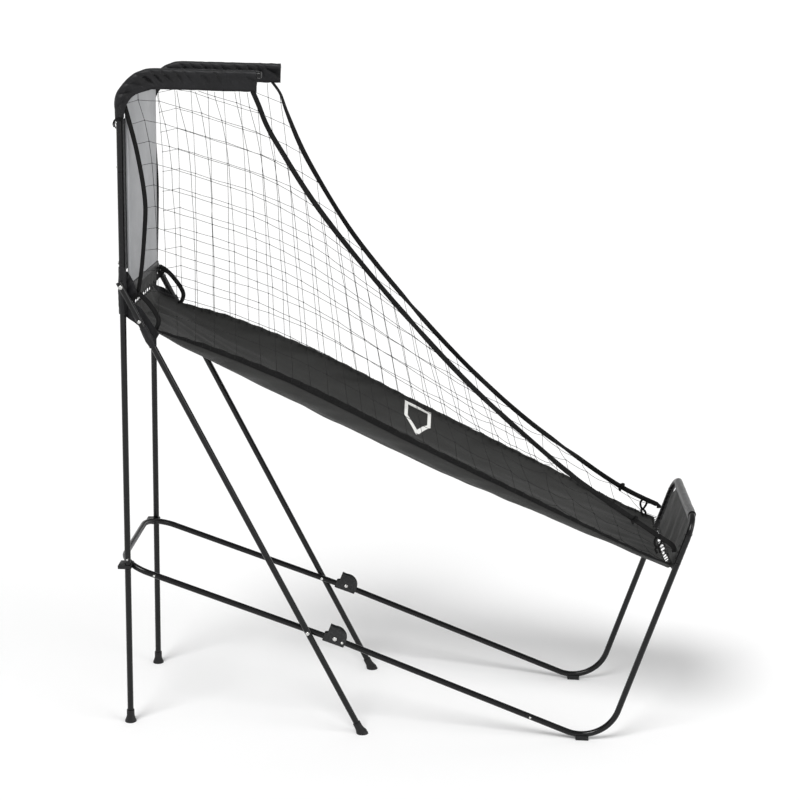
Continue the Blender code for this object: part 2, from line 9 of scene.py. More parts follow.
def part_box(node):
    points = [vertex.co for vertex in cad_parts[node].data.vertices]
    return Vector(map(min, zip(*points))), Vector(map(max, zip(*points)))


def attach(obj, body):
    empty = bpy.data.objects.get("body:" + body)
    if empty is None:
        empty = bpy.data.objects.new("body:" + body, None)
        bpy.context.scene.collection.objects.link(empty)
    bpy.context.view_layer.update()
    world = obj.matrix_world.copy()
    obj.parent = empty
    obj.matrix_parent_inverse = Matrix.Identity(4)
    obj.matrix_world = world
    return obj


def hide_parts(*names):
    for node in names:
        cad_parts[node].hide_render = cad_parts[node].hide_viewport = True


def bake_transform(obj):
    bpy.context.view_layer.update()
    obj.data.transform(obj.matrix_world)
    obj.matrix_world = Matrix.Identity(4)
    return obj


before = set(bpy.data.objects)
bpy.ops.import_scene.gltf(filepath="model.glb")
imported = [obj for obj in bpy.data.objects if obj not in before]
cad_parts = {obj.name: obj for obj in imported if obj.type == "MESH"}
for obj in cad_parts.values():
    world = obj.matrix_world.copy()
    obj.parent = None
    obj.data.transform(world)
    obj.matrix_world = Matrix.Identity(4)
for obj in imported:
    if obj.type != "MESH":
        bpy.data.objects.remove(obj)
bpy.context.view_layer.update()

# ---------------------------------------------------------------- places, from the frame
STAND, FRONT = "stand", "front_frame"
SIDES = (("right", -1.0), ("left", 1.0))


def middle(node):
    low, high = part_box(node)
    return (low + high) / 2.0


def size(node):
    low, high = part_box(node)
    return high - low


POST_X = middle("upright_left").x
POST_Y = middle("upright_left").y
BASE_Y = middle("front_leg_left").y
STRUT_Y = middle("strut_left").y
TUBE_R = size("front_leg_left").y / 2.0
ARM_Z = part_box("top_arm_left")[1].z - TUBE_R
ARM_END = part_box("arm_cap_left")[0].x + 0.0137 - POST_X
FRONT_JOINT_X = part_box("front_leg_left")[0].x + 0.0035 - POST_X
SPIGOT_LEN = 0.040
LEG_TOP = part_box("rear_leg_left")[1].z - SPIGOT_LEN
UPRIGHT_Z = (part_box("upright_left")[0].z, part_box("upright_left")[1].z - SPIGOT_LEN)
TROUGH_HALF = size("trough").y / 2.0 - 0.001
PIVOT_X = middle("hinge_rivet_left").x - POST_X
STRUT_FOOT_X = 0.7424
STRUT_TOP_Z = middle("strut_top_bolt_left").z

# lines of the frame in its own plan: x from the posts towards the hoop
BASE_SLOPE, BASE_AT_PIVOT = -0.340, 0.3047
FRONT_SLOPE, FRONT_AT_PIVOT = -0.383, 0.3075
HOOP_LEAN, HOOP_BASE_X, HOOP_BASE_Z = 0.310, 1.5440, 0.090
HOOP_JOINT_Z, HOOP_TOP_Z, HOOP_BEND = 0.600, 0.738, 0.065
ARM_BEND, BOW_BEND, FRONT_BEND = 0.110, 0.095, 0.120
BOW_X, BOW_JOINT_X = -0.0245, 0.105
SPIGOT_R = 0.0077
BASE_SPIGOT_LEN = 0.036
FIT = 0.0003
FOOT_SEAT = 0.0103
CHAMFER = 0.0006
SLEEVE_END = {"right": 0.402, "left": 0.417}
SLEEVE_START = 1.908
FLAP_DROP = 0.048

# how round the trough's section is at its walls and at its floor, and its two ends in plan
WALL_POWER, FLOOR_POWER = 0.92, 0.86
TROUGH_START, TROUGH_END = 0.022, 1.680
# plan x, edge height and depth of the trough
TROUGH_LINE = (
    (0.018, 1.312, 0.026), (0.100, 1.277, 0.030), (0.180, 1.256, 0.062), (0.260, 1.234, 0.087),
    (0.470, 1.158, 0.112), (0.610, 1.098, 0.121), (0.865, 0.973, 0.108), (1.087, 0.868, 0.094),
    (1.300, 0.768, 0.076), (1.470, 0.686, 0.055), (1.600, 0.626, 0.038), (1.690, 0.590, 0.036),
)
# plan x and z of the free borders of the right net (-1) and the left one (1), which hangs a little slacker
NET_BORDER = {
    -1.0: ((0.398, 1.985), (0.420, 1.920), (0.460, 1.843), (0.585, 1.655), (0.790, 1.409), (1.035, 1.149),
           (1.265, 0.947), (1.425, 0.822), (1.686, 0.650)),
    1.0: ((0.405, 1.985), (0.450, 1.873), (0.515, 1.740), (0.655, 1.522), (0.835, 1.307), (1.035, 1.099),
          (1.215, 0.940), (1.365, 0.830), (1.550, 0.707), (1.690, 0.640)),
}
# plan x and z of the nets' rear border
NET_REAR = (
    (0.004, 1.985), (0.020, 1.925), (0.044, 1.820), (0.062, 1.720), (0.069, 1.650), (0.066, 1.580),
    (0.056, 1.470), (0.044, 1.392),
)
NET_Y, NET_TOP_Z, FLAP_FOOT_Z = 0.2195, 1.985, 1.991
CELL_WIDE, CELL_HIGH = 0.056, 0.063
TWINE_R, KNOT_R = 0.00075, 0.0019
BORDER_WIDE, REAR_BORDER_WIDE = 0.0155, 0.013


def at(x, y, z):
    """A plan point in the object's own frame."""
    return Vector((x + POST_X, y, z))


def base_z(x):
    return BASE_AT_PIVOT + BASE_SLOPE * (x - PIVOT_X)


def front_z(x):
    return FRONT_AT_PIVOT + FRONT_SLOPE * (x - PIVOT_X)


def hoop_x(z):
    return HOOP_BASE_X + HOOP_LEAN * (z - HOOP_BASE_Z)


def strut_z(x):
    return STRUT_TOP_Z * (1.0 - x / STRUT_FOOT_X)


def smoothstep(a, b, x):
    t = min(max((x - a) / (b - a), 0.0), 1.0)
    return t * t * (3.0 - 2.0 * t)


def bump(centre, width, x):
    return math.exp(-((x - centre) / width) ** 2)


def wobble(x, y, z=0.0, scale=1.0):
    """Smooth noise from -1 to 1 at a point given in metres, with features of `scale` metres."""
    return noise.noise(Vector((x / scale, y / scale, z / scale + 3.7)))


def spline_point(points, t):
    """Point at t from 0 to 1 on a smooth curve through the given points, equal steps of t between them."""
    span = t * (len(points) - 1)
    i = min(int(span), len(points) - 2)
    u = span - i
    p = [Vector(points[min(max(k, 0), len(points) - 1)]) for k in (i - 1, i, i + 1, i + 2)]
    return 0.5 * ((2 * p[1]) + (p[2] - p[0]) * u + (2 * p[0] - 5 * p[1] + 4 * p[2] - p[3]) * u * u
                  + (3 * p[1] - p[0] - 3 * p[2] + p[3]) * u ** 3)


def even_line(points, count, smooth=True):
    """Points spaced evenly along the line through `points`, smoothed or straight between them."""
    fine = [spline_point(points, i / 400) for i in range(401)] if smooth else points
    run = [0.0]
    for a, b in zip(fine, fine[1:]):
        run.append(run[-1] + (b - a).length)
    line, j = [], 0
    for i in range(count):
        target = run[-1] * i / (count - 1)
        while j < len(fine) - 2 and run[j + 1] < target:
            j += 1
        part = (target - run[j]) / max(run[j + 1] - run[j], 1e-9)
        line.append(fine[j].lerp(fine[j + 1], part))
    return line


def curve_at(table, x):
    """The later columns of a table, smoothly read at x in its first column."""
    last = len(table) - 1
    x = min(max(x, table[0][0]), table[last][0])
    i = max(k for k in range(last) if table[k][0] <= x)
    span = table[i + 1][0] - table[i][0]
    t = (x - table[i][0]) / span
    values = []
    for c in range(1, len(table[0])):
        slopes = []
        for k in (i, i + 1):
            a, b = table[max(k - 1, 0)], table[min(k + 1, last)]
            slopes.append((b[c] - a[c]) / (b[0] - a[0]) * span)
        a, b = table[i][c], table[i + 1][c]
        values.append(a + slopes[0] * t + (3 * (b - a) - 2 * slopes[0] - slopes[1]) * t * t
                      + (2 * (a - b) + slopes[0] + slopes[1]) * t ** 3)
    return values


# ---------------------------------------------------------------- materials
def linear(code):
    """sRGB hex to linear RGBA."""
    parts = [int(code[i:i + 2], 16) / 255.0 for i in (1, 3, 5)]
    return (*[c / 12.92 if c <= 0.04045 else ((c + 0.055) / 1.055) ** 2.4 for c in parts], 1.0)


def add(tree, kind, links=None, **settings):
    """Adds a node; settings are its own properties, links its input sockets' values or sources."""
    made = tree.nodes.new(kind)
    for key, value in settings.items():
        setattr(made, key, value)
    for key, value in (links or {}).items():
        if isinstance(value, bpy.types.NodeSocket):
            tree.links.new(value, made.inputs[key])
        else:
            made.inputs[key].default_value = value
    return made


def start_material(name, **shader_values):
    mat = bpy.data.materials.new(name)
    mat.use_nodes = True
    tree = mat.node_tree
    shader = tree.nodes["Principled BSDF"]
    for key, value in shader_values.items():
        shader.inputs[key.replace("_", " ")].default_value = value
    return mat, tree, shader


def speckle(tree, coords, scale_m, low, high, detail=3.0):
    """Noise of the given grain, in metres, mapped between two values."""
    grain = add(tree, "ShaderNodeTexNoise", {"Vector": coords, "Scale": 1.0 / scale_m, "Detail": detail})
    ranged = add(tree, "ShaderNodeMapRange", {"Value": grain.outputs[0], "From Min": 0.3, "From Max": 0.7,
                                              "To Min": low, "To Max": high})
    return ranged.outputs[0]


def tint(tree, factor, dark, light):
    mixed = add(tree, "ShaderNodeMix", {0: factor, 6: linear(dark), 7: linear(light)}, data_type="RGBA")
    return mixed.outputs[2]


def relief(tree, shader, height, distance, strength=1.0):
    made = add(tree, "ShaderNodeBump", {"Height": height, "Distance": distance, "Strength": strength})
    tree.links.new(made.outputs[0], shader.inputs["Normal"])


def object_coords(tree):
    return add(tree, "ShaderNodeTexCoord").outputs["Object"]


def colour(tree, shader, factor, dark, light):
    """Base colour between two shades."""
    tree.links.new(tint(tree, factor, dark, light), shader.inputs["Base Color"])


def mottle(tree, shader, coords, grain_m, dark, light):
    """Base colour that drifts between two shades in patches of the given size."""
    colour(tree, shader, speckle(tree, coords, grain_m, 0.0, 1.0), dark, light)


def roughen(tree, shader, coords, grain_m, low, high):
    tree.links.new(speckle(tree, coords, grain_m, low, high), shader.inputs["Roughness"])


def powder_coat():
    """Gloss black epoxy powder on steel tube: flows out with a faint orange peel, dulled by handling."""
    mat, tree, shader = start_material("gloss_black_powder_coat", IOR=1.52, Specular_IOR_Level=0.30)
    coords = object_coords(tree)
    roughen(tree, shader, coords, 0.045, 0.16, 0.28)
    mottle(tree, shader, coords, 0.09, "#070708", "#0c0c0d")
    relief(tree, shader, speckle(tree, coords, 0.0016, 0.0, 1.0, 1.0), 0.00006)
    return mat


def bright_zinc():
    """Zinc plated steel, barrel finished: bright, with fine random scratches."""
    mat, tree, shader = start_material("bright_zinc_plate", Metallic=1.0)
    coords = object_coords(tree)
    roughen(tree, shader, coords, 0.0012, 0.16, 0.34)
    mottle(tree, shader, coords, 0.003, "#b9b9b4", "#dedede")
    return mat


def moulded_plastic():
    """Injection moulded black polypropylene, spark eroded mould texture with about 0.5 mm grain."""
    mat, tree, shader = start_material("moulded_black_polypropylene", IOR=1.49, Specular_IOR_Level=0.35)
    coords = object_coords(tree)
    roughen(tree, shader, coords, 0.012, 0.42, 0.58)
    mottle(tree, shader, coords, 0.02, "#0d0d0e", "#151516")
    relief(tree, shader, speckle(tree, coords, 0.0005, 0.0, 1.0), 0.00004)
    return mat


def pressed_steel():
    """Satin black paint over pressed steel plate, slightly worn to grey in patches."""
    mat, tree, shader = start_material("satin_black_pressed_steel", IOR=1.5, Specular_IOR_Level=0.40)
    coords = object_coords(tree)
    colour(tree, shader, speckle(tree, coords, 0.006, -0.6, 1.0, 6.0), "#0f1011", "#2a2b2c")
    roughen(tree, shader, coords, 0.010, 0.30, 0.46)
    relief(tree, shader, speckle(tree, coords, 0.0012, 0.0, 1.0), 0.00005)
    return mat


def weave(tree, pitch, fray):
    """Plain weave height from the piece's own UV map, laid out in metres."""
    uv = add(tree, "ShaderNodeTexCoord").outputs["UV"]
    rows = []
    for axis in ("X", "Y"):
        sockets = {"Vector": uv, "Scale": math.pi / 10.0 / pitch, "Distortion": fray, "Detail": 1.0}
        wave = add(tree, "ShaderNodeTexWave", sockets, wave_type="BANDS", bands_direction=axis,
                   wave_profile="SIN")
        rows.append(wave.outputs["Fac"])
    return add(tree, "ShaderNodeMath", {0: rows[0], 1: rows[1]}, operation="MULTIPLY").outputs[0]


def polyester_cloth():
    """Uncoated black polyester, plain weave: dull, with a soft sheen where it turns away.
    The real thread is 0.4 mm; it is drawn at 1.5 mm so that it shows."""
    mat, tree, shader = start_material("woven_black_polyester", IOR=1.46, Sheen_Weight=0.10,
                                       Sheen_Roughness=0.5,
                                       Roughness=0.82, Specular_IOR_Level=0.30)
    height = weave(tree, 0.0015, 0.4)
    patch = speckle(tree, object_coords(tree), 0.08, 0.0, 1.0, 4.0)
    blend = add(tree, "ShaderNodeMath", {0: patch, 1: height}, operation="MULTIPLY")
    colour(tree, shader, blend.outputs[0], "#2e2e2d", "#3c3d3c")
    relief(tree, shader, height, 0.00030, 0.7)
    return mat


def nylon_sleeve():
    """Coated black nylon, close weave: takes a broad soft shine along its creases."""
    mat, tree, shader = start_material("coated_black_nylon", IOR=1.5, Specular_IOR_Level=0.30)
    coords = object_coords(tree)
    roughen(tree, shader, coords, 0.03, 0.36, 0.50)
    mottle(tree, shader, coords, 0.05, "#0b0b0d", "#131316")
    relief(tree, shader, weave(tree, 0.0011, 0.2), 0.00018, 0.6)
    return mat


def flecked_canvas():
    """Coarse grey and black flecked canvas on the front bar: slubs of lighter thread, 3.5 mm long."""
    mat, tree, shader = start_material("flecked_grey_canvas", IOR=1.46, Sheen_Weight=0.35,
                                       Sheen_Roughness=0.5,
                                       Roughness=0.85)
    fleck = speckle(tree, object_coords(tree), 0.0035, 0.0, 1.0, 5.0)
    colour(tree, shader, fleck, "#232324", "#4c4c4c")
    relief(tree, shader, weave(tree, 0.0018, 1.2), 0.0004, 0.8)
    return mat


def webbing_strap():
    """Woven polypropylene webbing: a close weave with 2 mm ribs, dull."""
    mat, tree, shader = start_material("black_rib_webbing", IOR=1.49, Roughness=0.75, Specular_IOR_Level=0.20)
    mottle(tree, shader, object_coords(tree), 0.03, "#090909", "#121212")
    relief(tree, shader, weave(tree, 0.0020, 0.5), 0.0004, 0.8)
    return mat


def net_twine():
    """Twisted polyethylene twine, black, faintly waxy."""
    mat, tree, shader = start_material("black_polyethylene_twine", IOR=1.5, Specular_IOR_Level=0.25)
    coords = object_coords(tree)
    mottle(tree, shader, coords, 0.02, "#0d0d0d", "#1a1a1a")
    roughen(tree, shader, coords, 0.004, 0.45, 0.65)
    relief(tree, shader, speckle(tree, coords, 0.0010, 0.0, 1.0), 0.0001)
    return mat


def board_sheet():
    """Grey vinyl faced target board: matt, with a fine leather grain and faint handling marks."""
    mat, tree, shader = start_material("grey_vinyl_board", IOR=1.5)
    coords = object_coords(tree)
    colour(tree, shader, speckle(tree, coords, 0.12, 0.0, 1.0, 6.0), "#97989a", "#a6a7a9")
    roughen(tree, shader, coords, 0.02, 0.58, 0.74)
    grain = add(tree, "ShaderNodeTexVoronoi", {"Vector": coords, "Scale": 1.0 / 0.0018}, feature="F1")
    relief(tree, shader, grain.outputs["Distance"], 0.00015, 0.5)
    return mat


def screen_print():
    """White screen ink on cloth: the weave shows through as slight mottling."""
    mat, tree, shader = start_material("white_screen_ink", IOR=1.5)
    coords = object_coords(tree)
    mottle(tree, shader, coords, 0.0016, "#dcdcd8", "#f4f4f2")
    roughen(tree, shader, coords, 0.002, 0.55, 0.75)
    return mat


POWDER = powder_coat()
ZINC = bright_zinc()
PLASTIC = moulded_plastic()
STEEL = pressed_steel()
CLOTH = polyester_cloth()
NYLON = nylon_sleeve()
CANVAS = flecked_canvas()
WEBBING = webbing_strap()
TWINE = net_twine()
BOARD = board_sheet()
INK = screen_print()


# ---------------------------------------------------------------- making pieces
def finish_mesh(name, bm, material, angle=35.0):
    mesh = bpy.data.meshes.new(name)
    bm.to_mesh(mesh)
    bm.free()
    mesh.materials.append(material)
    mesh.shade_smooth()
    mesh.set_sharp_from_angle(angle=math.radians(angle))
    obj = bpy.data.objects.new(name, mesh)
    bpy.context.scene.collection.objects.link(obj)
    return obj


def dress(obj, nodes):
    if nodes:
        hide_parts(*nodes)
    return obj


def place(obj, body, slot, *nodes):
    """A piece that rides on one body."""
    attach(obj, body)
    return dress(obj, nodes)


def across_fold(obj, slot, *nodes):
    """Cloth and net that hang between the stand and the front frame."""
    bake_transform(obj)
    return dress(obj, nodes)


def round_bar(name, lines, radius, material, sides=3, caps=True):
    """Round bars or cords in one piece; each line is a list of points or (point, radius share) pairs."""
    curve = bpy.data.curves.new(name, "CURVE")
    curve.dimensions = "3D"
    curve.bevel_depth = radius
    curve.bevel_resolution = sides
    curve.use_fill_caps = caps
    for line in lines:
        stops = [s if isinstance(s, tuple) else (s, 1.0) for s in line]
        spline = curve.splines.new("POLY")
        spline.points.add(len(stops) - 1)
        for point, (spot, share) in zip(spline.points, stops):
            point.co = (*spot, 1.0)
            point.radius = share
    made = bpy.data.objects.new(name, curve)
    bpy.context.scene.collection.objects.link(made)
    bpy.context.view_layer.update()
    mesh = bpy.data.meshes.new_from_object(made.evaluated_get(bpy.context.evaluated_depsgraph_get()))
    bpy.data.objects.remove(made, do_unlink=True)
    bpy.data.curves.remove(curve)
    bm = bmesh.new()
    bm.from_mesh(mesh)
    bpy.data.meshes.remove(mesh)
    bmesh.ops.remove_doubles(bm, verts=bm.verts, dist=1e-6)
    bmesh.ops.recalc_face_normals(bm, faces=bm.faces)
    return finish_mesh(name, bm, material, 40.0)


def lathe(name, profile, origin, direction, material, steps=32):
    """Turned piece: the profile of (radius, height) points is spun about the direction."""
    bm = bmesh.new()
    verts = [bm.verts.new((r, 0.0, h)) for r, h in profile]
    edges = [bm.edges.new(pair) for pair in zip(verts, verts[1:])]
    bmesh.ops.spin(bm, geom=verts + edges, cent=(0, 0, 0), axis=(0, 0, 1), angle=math.tau, steps=steps,
                   use_merge=True)
    bmesh.ops.remove_doubles(bm, verts=bm.verts, dist=1e-6)
    bmesh.ops.recalc_face_normals(bm, faces=bm.faces)
    turn = Vector(direction).to_track_quat("Z", "Y").to_matrix().to_4x4()
    bmesh.ops.transform(bm, matrix=Matrix.Translation(origin) @ turn, verts=bm.verts)
    return finish_mesh(name, bm, material, 30.0)


def sheet_grid(name, along, across, surface, material, thickness, lengths, wrap=False, smooth_angle=60.0):
    """Cloth from a grid bent by surface(s, t), both from 0 to 1, with UVs in metres and a real thickness."""
    bm = bmesh.new()
    bmesh.ops.create_grid(bm, x_segments=along, y_segments=across, size=0.5)
    uv = bm.loops.layers.uv.new("UVMap")
    for face in bm.faces:
        for loop in face.loops:
            loop[uv].uv = ((loop.vert.co.x + 0.5) * lengths[0], (loop.vert.co.y + 0.5) * lengths[1])
    for vert in bm.verts:
        vert.co = surface(vert.co.x + 0.5, vert.co.y + 0.5)
    if wrap:
        bmesh.ops.remove_doubles(bm, verts=bm.verts, dist=1e-5)
    bmesh.ops.recalc_face_normals(bm, faces=bm.faces)
    obj = finish_mesh(name, bm, material, smooth_angle)
    wall = obj.modifiers.new("wall", "SOLIDIFY")
    wall.thickness, wall.offset = thickness, 0.0
    bpy.context.view_layer.update()
    thick = bpy.data.meshes.new_from_object(obj.evaluated_get(bpy.context.evaluated_depsgraph_get()))
    obj.modifiers.clear()
    obj.data = thick
    return obj


def refined(node, material, slot, body, bevel):
    """A CAD piece with its edges broken, as pressing, moulding or sawing leaves them."""
    bm = bmesh.new()
    bm.from_mesh(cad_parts[node].data)
    bmesh.ops.remove_doubles(bm, verts=bm.verts, dist=1e-6)
    bmesh.ops.dissolve_limit(bm, angle_limit=math.radians(1.0), verts=bm.verts, edges=bm.edges)
    sharp = [e for e in bm.edges if len(e.link_faces) == 2 and e.calc_face_angle() > math.radians(40.0)]
    bmesh.ops.bevel(bm, geom=sharp, offset=bevel, offset_type="OFFSET", affect="EDGES", segments=2,
                    profile=0.5,
                    clamp_overlap=True, material=-1)
    obj = finish_mesh(f"{node}_finished", bm, material, 30.0)
    return place(obj, body, slot, node)


# ---------------------------------------------------------------- steel tubes
def tube_stops(points, spigot=None):
    """Centre line of a tube with broken ends, and the reduced spigot that enters the next tube."""
    first, last = (points[1] - points[0]).normalized(), (points[-1] - points[-2]).normalized()
    edge = 1.0 - CHAMFER / TUBE_R
    stops = [(points[0], edge), (points[0] + first * CHAMFER, 1.0)]
    stops += [(p, 1.0) for p in points[1:-1]]
    stops += [(points[-1] - last * CHAMFER, 1.0), (points[-1], edge)]
    if spigot:
        share = SPIGOT_R / TUBE_R
        stops += [(points[-1] + last * 0.0001, share), (points[-1] + last * spigot, share)]
    return stops


def rounded(corners, radius, steps=24):
    """Points of a bent tube's centre line: straight runs joined by arcs of one radius."""
    points = [corners[0]]
    for before, corner, after in zip(corners, corners[1:], corners[2:]):
        back, ahead = (before - corner).normalized(), (after - corner).normalized()
        half = back.angle(ahead) / 2.0
        reach = radius / math.tan(half)
        centre = corner + (back + ahead).normalized() * (radius / math.sin(half))
        first, last = corner + back * reach - centre, corner + ahead * reach - centre
        points += [centre + first.slerp(last, i / steps) * radius for i in range(steps + 1)]
    points.append(corners[-1])
    return points


def tube(node, points, body, spigot=None):
    obj = round_bar(f"{node}_tube", [tube_stops(points, spigot)], TUBE_R, POWDER, sides=10)
    return place(obj, body, "tube", node)


def arm_line(y, end, start):
    return rounded([at(0, y, start), at(0, y, ARM_Z), at(end, y, ARM_Z)], ARM_BEND)


def bow_line():
    return rounded([at(BOW_JOINT_X, BASE_Y, base_z(BOW_JOINT_X)), at(BOW_X, BASE_Y, base_z(BOW_X)),
                    at(BOW_X, -BASE_Y, base_z(BOW_X)), at(BOW_JOINT_X, -BASE_Y, base_z(BOW_JOINT_X))],
                    BOW_BEND)


def front_line(y):
    x = (HOOP_BASE_X + HOOP_LEAN * (front_z(0.0) - HOOP_BASE_Z)) / (1.0 - HOOP_LEAN * FRONT_SLOPE)
    return rounded([at(FRONT_JOINT_X, y, front_z(FRONT_JOINT_X)), at(x, y, front_z(x)),
                    at(hoop_x(HOOP_JOINT_Z), y, HOOP_JOINT_Z)], FRONT_BEND)


def hoop_line():
    z = HOOP_JOINT_Z + FIT
    low, top = hoop_x(z), hoop_x(HOOP_TOP_Z)
    return rounded([at(low, -BASE_Y, z), at(top, -BASE_Y, HOOP_TOP_Z), at(top, BASE_Y, HOOP_TOP_Z),
                    at(low, BASE_Y, z)], HOOP_BEND)


def frame_tubes(side, sign):
    post, base, strut = sign * POST_Y, sign * BASE_Y, sign * STRUT_Y
    tube(f"rear_leg_{side}", [at(0, post, FOOT_SEAT), at(0, post, LEG_TOP)], STAND, SPIGOT_LEN)
    tube(f"upright_{side}", [at(0, post, UPRIGHT_Z[0]), at(0, post, UPRIGHT_Z[1])], STAND, SPIGOT_LEN)
    tube(f"top_arm_{side}", arm_line(post, ARM_END, UPRIGHT_Z[1] + FIT), STAND)
    foot = at(STRUT_FOOT_X, strut, 0.0)
    along = Vector((-STRUT_FOOT_X, 0.0, STRUT_TOP_Z)).normalized()
    tube(f"strut_{side}", [foot + along * FOOT_SEAT, at(0.0, strut, STRUT_TOP_Z) + along * 0.016], STAND)
    rear, hinge = BOW_JOINT_X + FIT, PIVOT_X - 0.017
    tube(f"base_tube_{side}", [at(hinge, base, base_z(hinge)), at(rear, base, base_z(rear))], STAND,
         BASE_SPIGOT_LEN)
    line = Vector((1.0, 0.0, FRONT_SLOPE)).normalized()
    start = at(PIVOT_X, base, FRONT_AT_PIVOT) + line * 0.018
    end = FRONT_JOINT_X - FIT
    tube(f"front_tube_{side}", [start, at(end, base, front_z(end))], FRONT, BASE_SPIGOT_LEN)
    tube(f"front_leg_{side}", front_line(base), FRONT)


# ---------------------------------------------------------------- feet, caps and fasteners
def foot(name, node, spot, direction):
    """Flared plastic foot with moulded rings, cut flat where it meets the floor."""
    direction = Vector(direction).normalized()
    profile = [(0.0, 0.0102), (0.0097, 0.0102), (0.0098, 0.0396), (0.0104, 0.0400), (0.0120, 0.0396),
               (0.0122, 0.0360), (0.0118, 0.0352), (0.0122, 0.0344), (0.0122, 0.0310), (0.0118, 0.0302),
               (0.0122, 0.0294), (0.0123, 0.0220), (0.0132, 0.0170), (0.0160, 0.0085), (0.0176, 0.0052),
               (0.0180, 0.0035), (0.0180, -0.0200), (0.0, -0.0200)]
    obj = lathe(name, profile, spot, direction, PLASTIC, 40)
    bm = bmesh.new()
    bm.from_mesh(obj.data)
    cut = bmesh.ops.bisect_plane(bm, geom=bm.verts[:] + bm.edges[:] + bm.faces[:], plane_co=(0, 0, 0),
                                 plane_no=(0, 0, -1), clear_outer=True)["geom_cut"]
    bmesh.ops.contextual_create(bm, geom=[g for g in cut if isinstance(g, bmesh.types.BMEdge)])
    bmesh.ops.recalc_face_normals(bm, faces=bm.faces)
    bm.to_mesh(obj.data)
    bm.free()
    obj.data.set_sharp_from_angle(angle=math.radians(30.0))
    return place(obj, STAND, "plastic", node)


def domed_head(radius, height, steps=6):
    return [(radius * math.cos(a), height * math.sin(a)) for a in
            (math.radians(90.0 * i / steps) for i in range(steps + 1))]


def rivet(node, start, direction, length, radius, shank, tail=0.0048):
    """Pan head bolt with its washer, the shank, and a formed tail."""
    head = [(r, -h - 0.0006) for r, h in reversed(domed_head(radius, 0.0026))]
    washer = [(radius * 1.08, -0.0006), (radius * 1.08, 0.0)]
    far = [(shank, 0.0), (shank, length), (tail, length)]
    far += [(r, length + h) for r, h in domed_head(tail, 0.0026)]
    obj = lathe(f"{node}_zinc", head + washer + far, start, direction, ZINC, 32)
    return place(obj, STAND, "zinc", node)


def tube_screw(name, spot, direction, body, radius=0.0038):
    """Small pan head screw with a round recess, flush on a tube."""
    profile = [(0.0, 0.0004), (radius * 0.42, 0.0004), (radius * 0.46, 0.0019), (radius * 0.75, 0.0018),
               (radius * 0.95, 0.0010), (radius, -0.0012), (0.0, -0.0012)]
    return place(lathe(name, profile, spot, direction, ZINC, 18), body, "zinc")


def fasteners(side, sign):
    outside = STRUT_Y + TUBE_R + 0.0006
    to_middle = (0.0, -sign, 0.0)
    for label, gap in (("strut_top_bolt", POST_Y), ("strut_pivot_bolt", BASE_Y)):
        spot = middle(f"{label}_{side}")
        length = outside - (gap - TUBE_R) + 0.0002
        rivet(f"{label}_{side}", Vector((spot.x, sign * outside, spot.z)), to_middle, length, 0.0058, 0.0028)
    for label in ("lower_board_bolt", "upper_board_bolt"):
        spot = middle(f"{label}_{side}")
        start = Vector((POST_X - TUBE_R - 0.0006, spot.y, spot.z))
        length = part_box(f"{label}_{side}")[1].x - start.x - 0.0032
        rivet(f"{label}_{side}", start, (1, 0, 0), length, 0.0049, 0.0026, tail=0.0026)
    spot = middle(f"hinge_rivet_{side}")
    half = 0.0122
    rivet(f"hinge_rivet_{side}", spot + Vector((0, sign * half, 0)), to_middle, 2 * half, 0.0063, 0.0040,
          0.0060)
    low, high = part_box(f"lock_pin_{side}")
    nose = sign * min(abs(low.y), abs(high.y))
    reach = abs(high.y - low.y)
    knob = [(0.0, 0.0), (0.0023, 0.0), (0.0025, 0.0003), (0.0025, 0.0021), (0.0038, 0.0021), (0.0042, 0.0025),
            (0.0042, 0.0032), (0.0038, 0.0036), (0.0042, 0.0040), (0.0040, reach - 0.0008),
            (0.0030, reach - 0.0001), (0.0, reach)]
    pin = lathe(f"lock_pin_{side}_zinc", knob, Vector(((low.x + high.x) / 2, nose, (low.z + high.z) / 2)),
                (0, sign, 0), ZINC, 28)
    place(pin, f"{side}_pin", "zinc", f"lock_pin_{side}")

    edge = sign * (BASE_Y + TUBE_R)
    joint = FRONT_JOINT_X + 0.016
    tube_screw(f"front_joint_screw_{side}", at(joint, edge, front_z(joint)), (0, sign, 0), FRONT)
    joint = BOW_JOINT_X - 0.022
    tube_screw(f"bow_joint_screw_{side}", at(joint, edge, base_z(joint)), (0, sign, 0), STAND)
    tube_screw(f"arm_joint_screw_{side}", at(-TUBE_R, sign * POST_Y, UPRIGHT_Z[1] + 0.014), (-1, 0, 0), STAND)
    tube_screw(f"leg_joint_screw_{side}", at(0.0, sign * (POST_Y + TUBE_R), UPRIGHT_Z[0] + 0.018),
               (0, sign, 0),
               STAND, 0.0034)


def hardware(side, sign):
    foot(f"rear_foot_{side}_moulding", f"rear_foot_{side}", at(0, sign * POST_Y, 0), (0, 0, 1))
    foot(f"strut_foot_{side}_moulding", f"strut_foot_{side}", at(STRUT_FOOT_X, sign * STRUT_Y, 0),
         (-STRUT_FOOT_X, 0, STRUT_TOP_Z))
    cap = [(0.0, 0.0042), (0.0062, 0.0040), (0.0084, 0.0032), (0.0094, 0.0020), (TUBE_R, 0.0012),
           (TUBE_R, 0.0),
           (SPIGOT_R, 0.0), (SPIGOT_R, -0.013), (0.0, -0.013)]
    place(lathe(f"arm_cap_{side}_moulding", cap, at(ARM_END + FIT, sign * POST_Y, ARM_Z), (1, 0, 0),
                PLASTIC, 36),
          STAND, "plastic", f"arm_cap_{side}")
    refined(f"bow_clamp_{side}", PLASTIC, "plastic", STAND, 0.0008)
    refined(f"hinge_bracket_{side}", STEEL, "bracket", STAND, 0.0004)
    refined(f"front_knuckle_{side}", STEEL, "bracket", FRONT, 0.0006)
    refined(f"front_foot_{side}", PLASTIC, "plastic", FRONT, 0.0008)
    refined(f"board_strip_{side}", STEEL, "bracket", STAND, 0.0005)


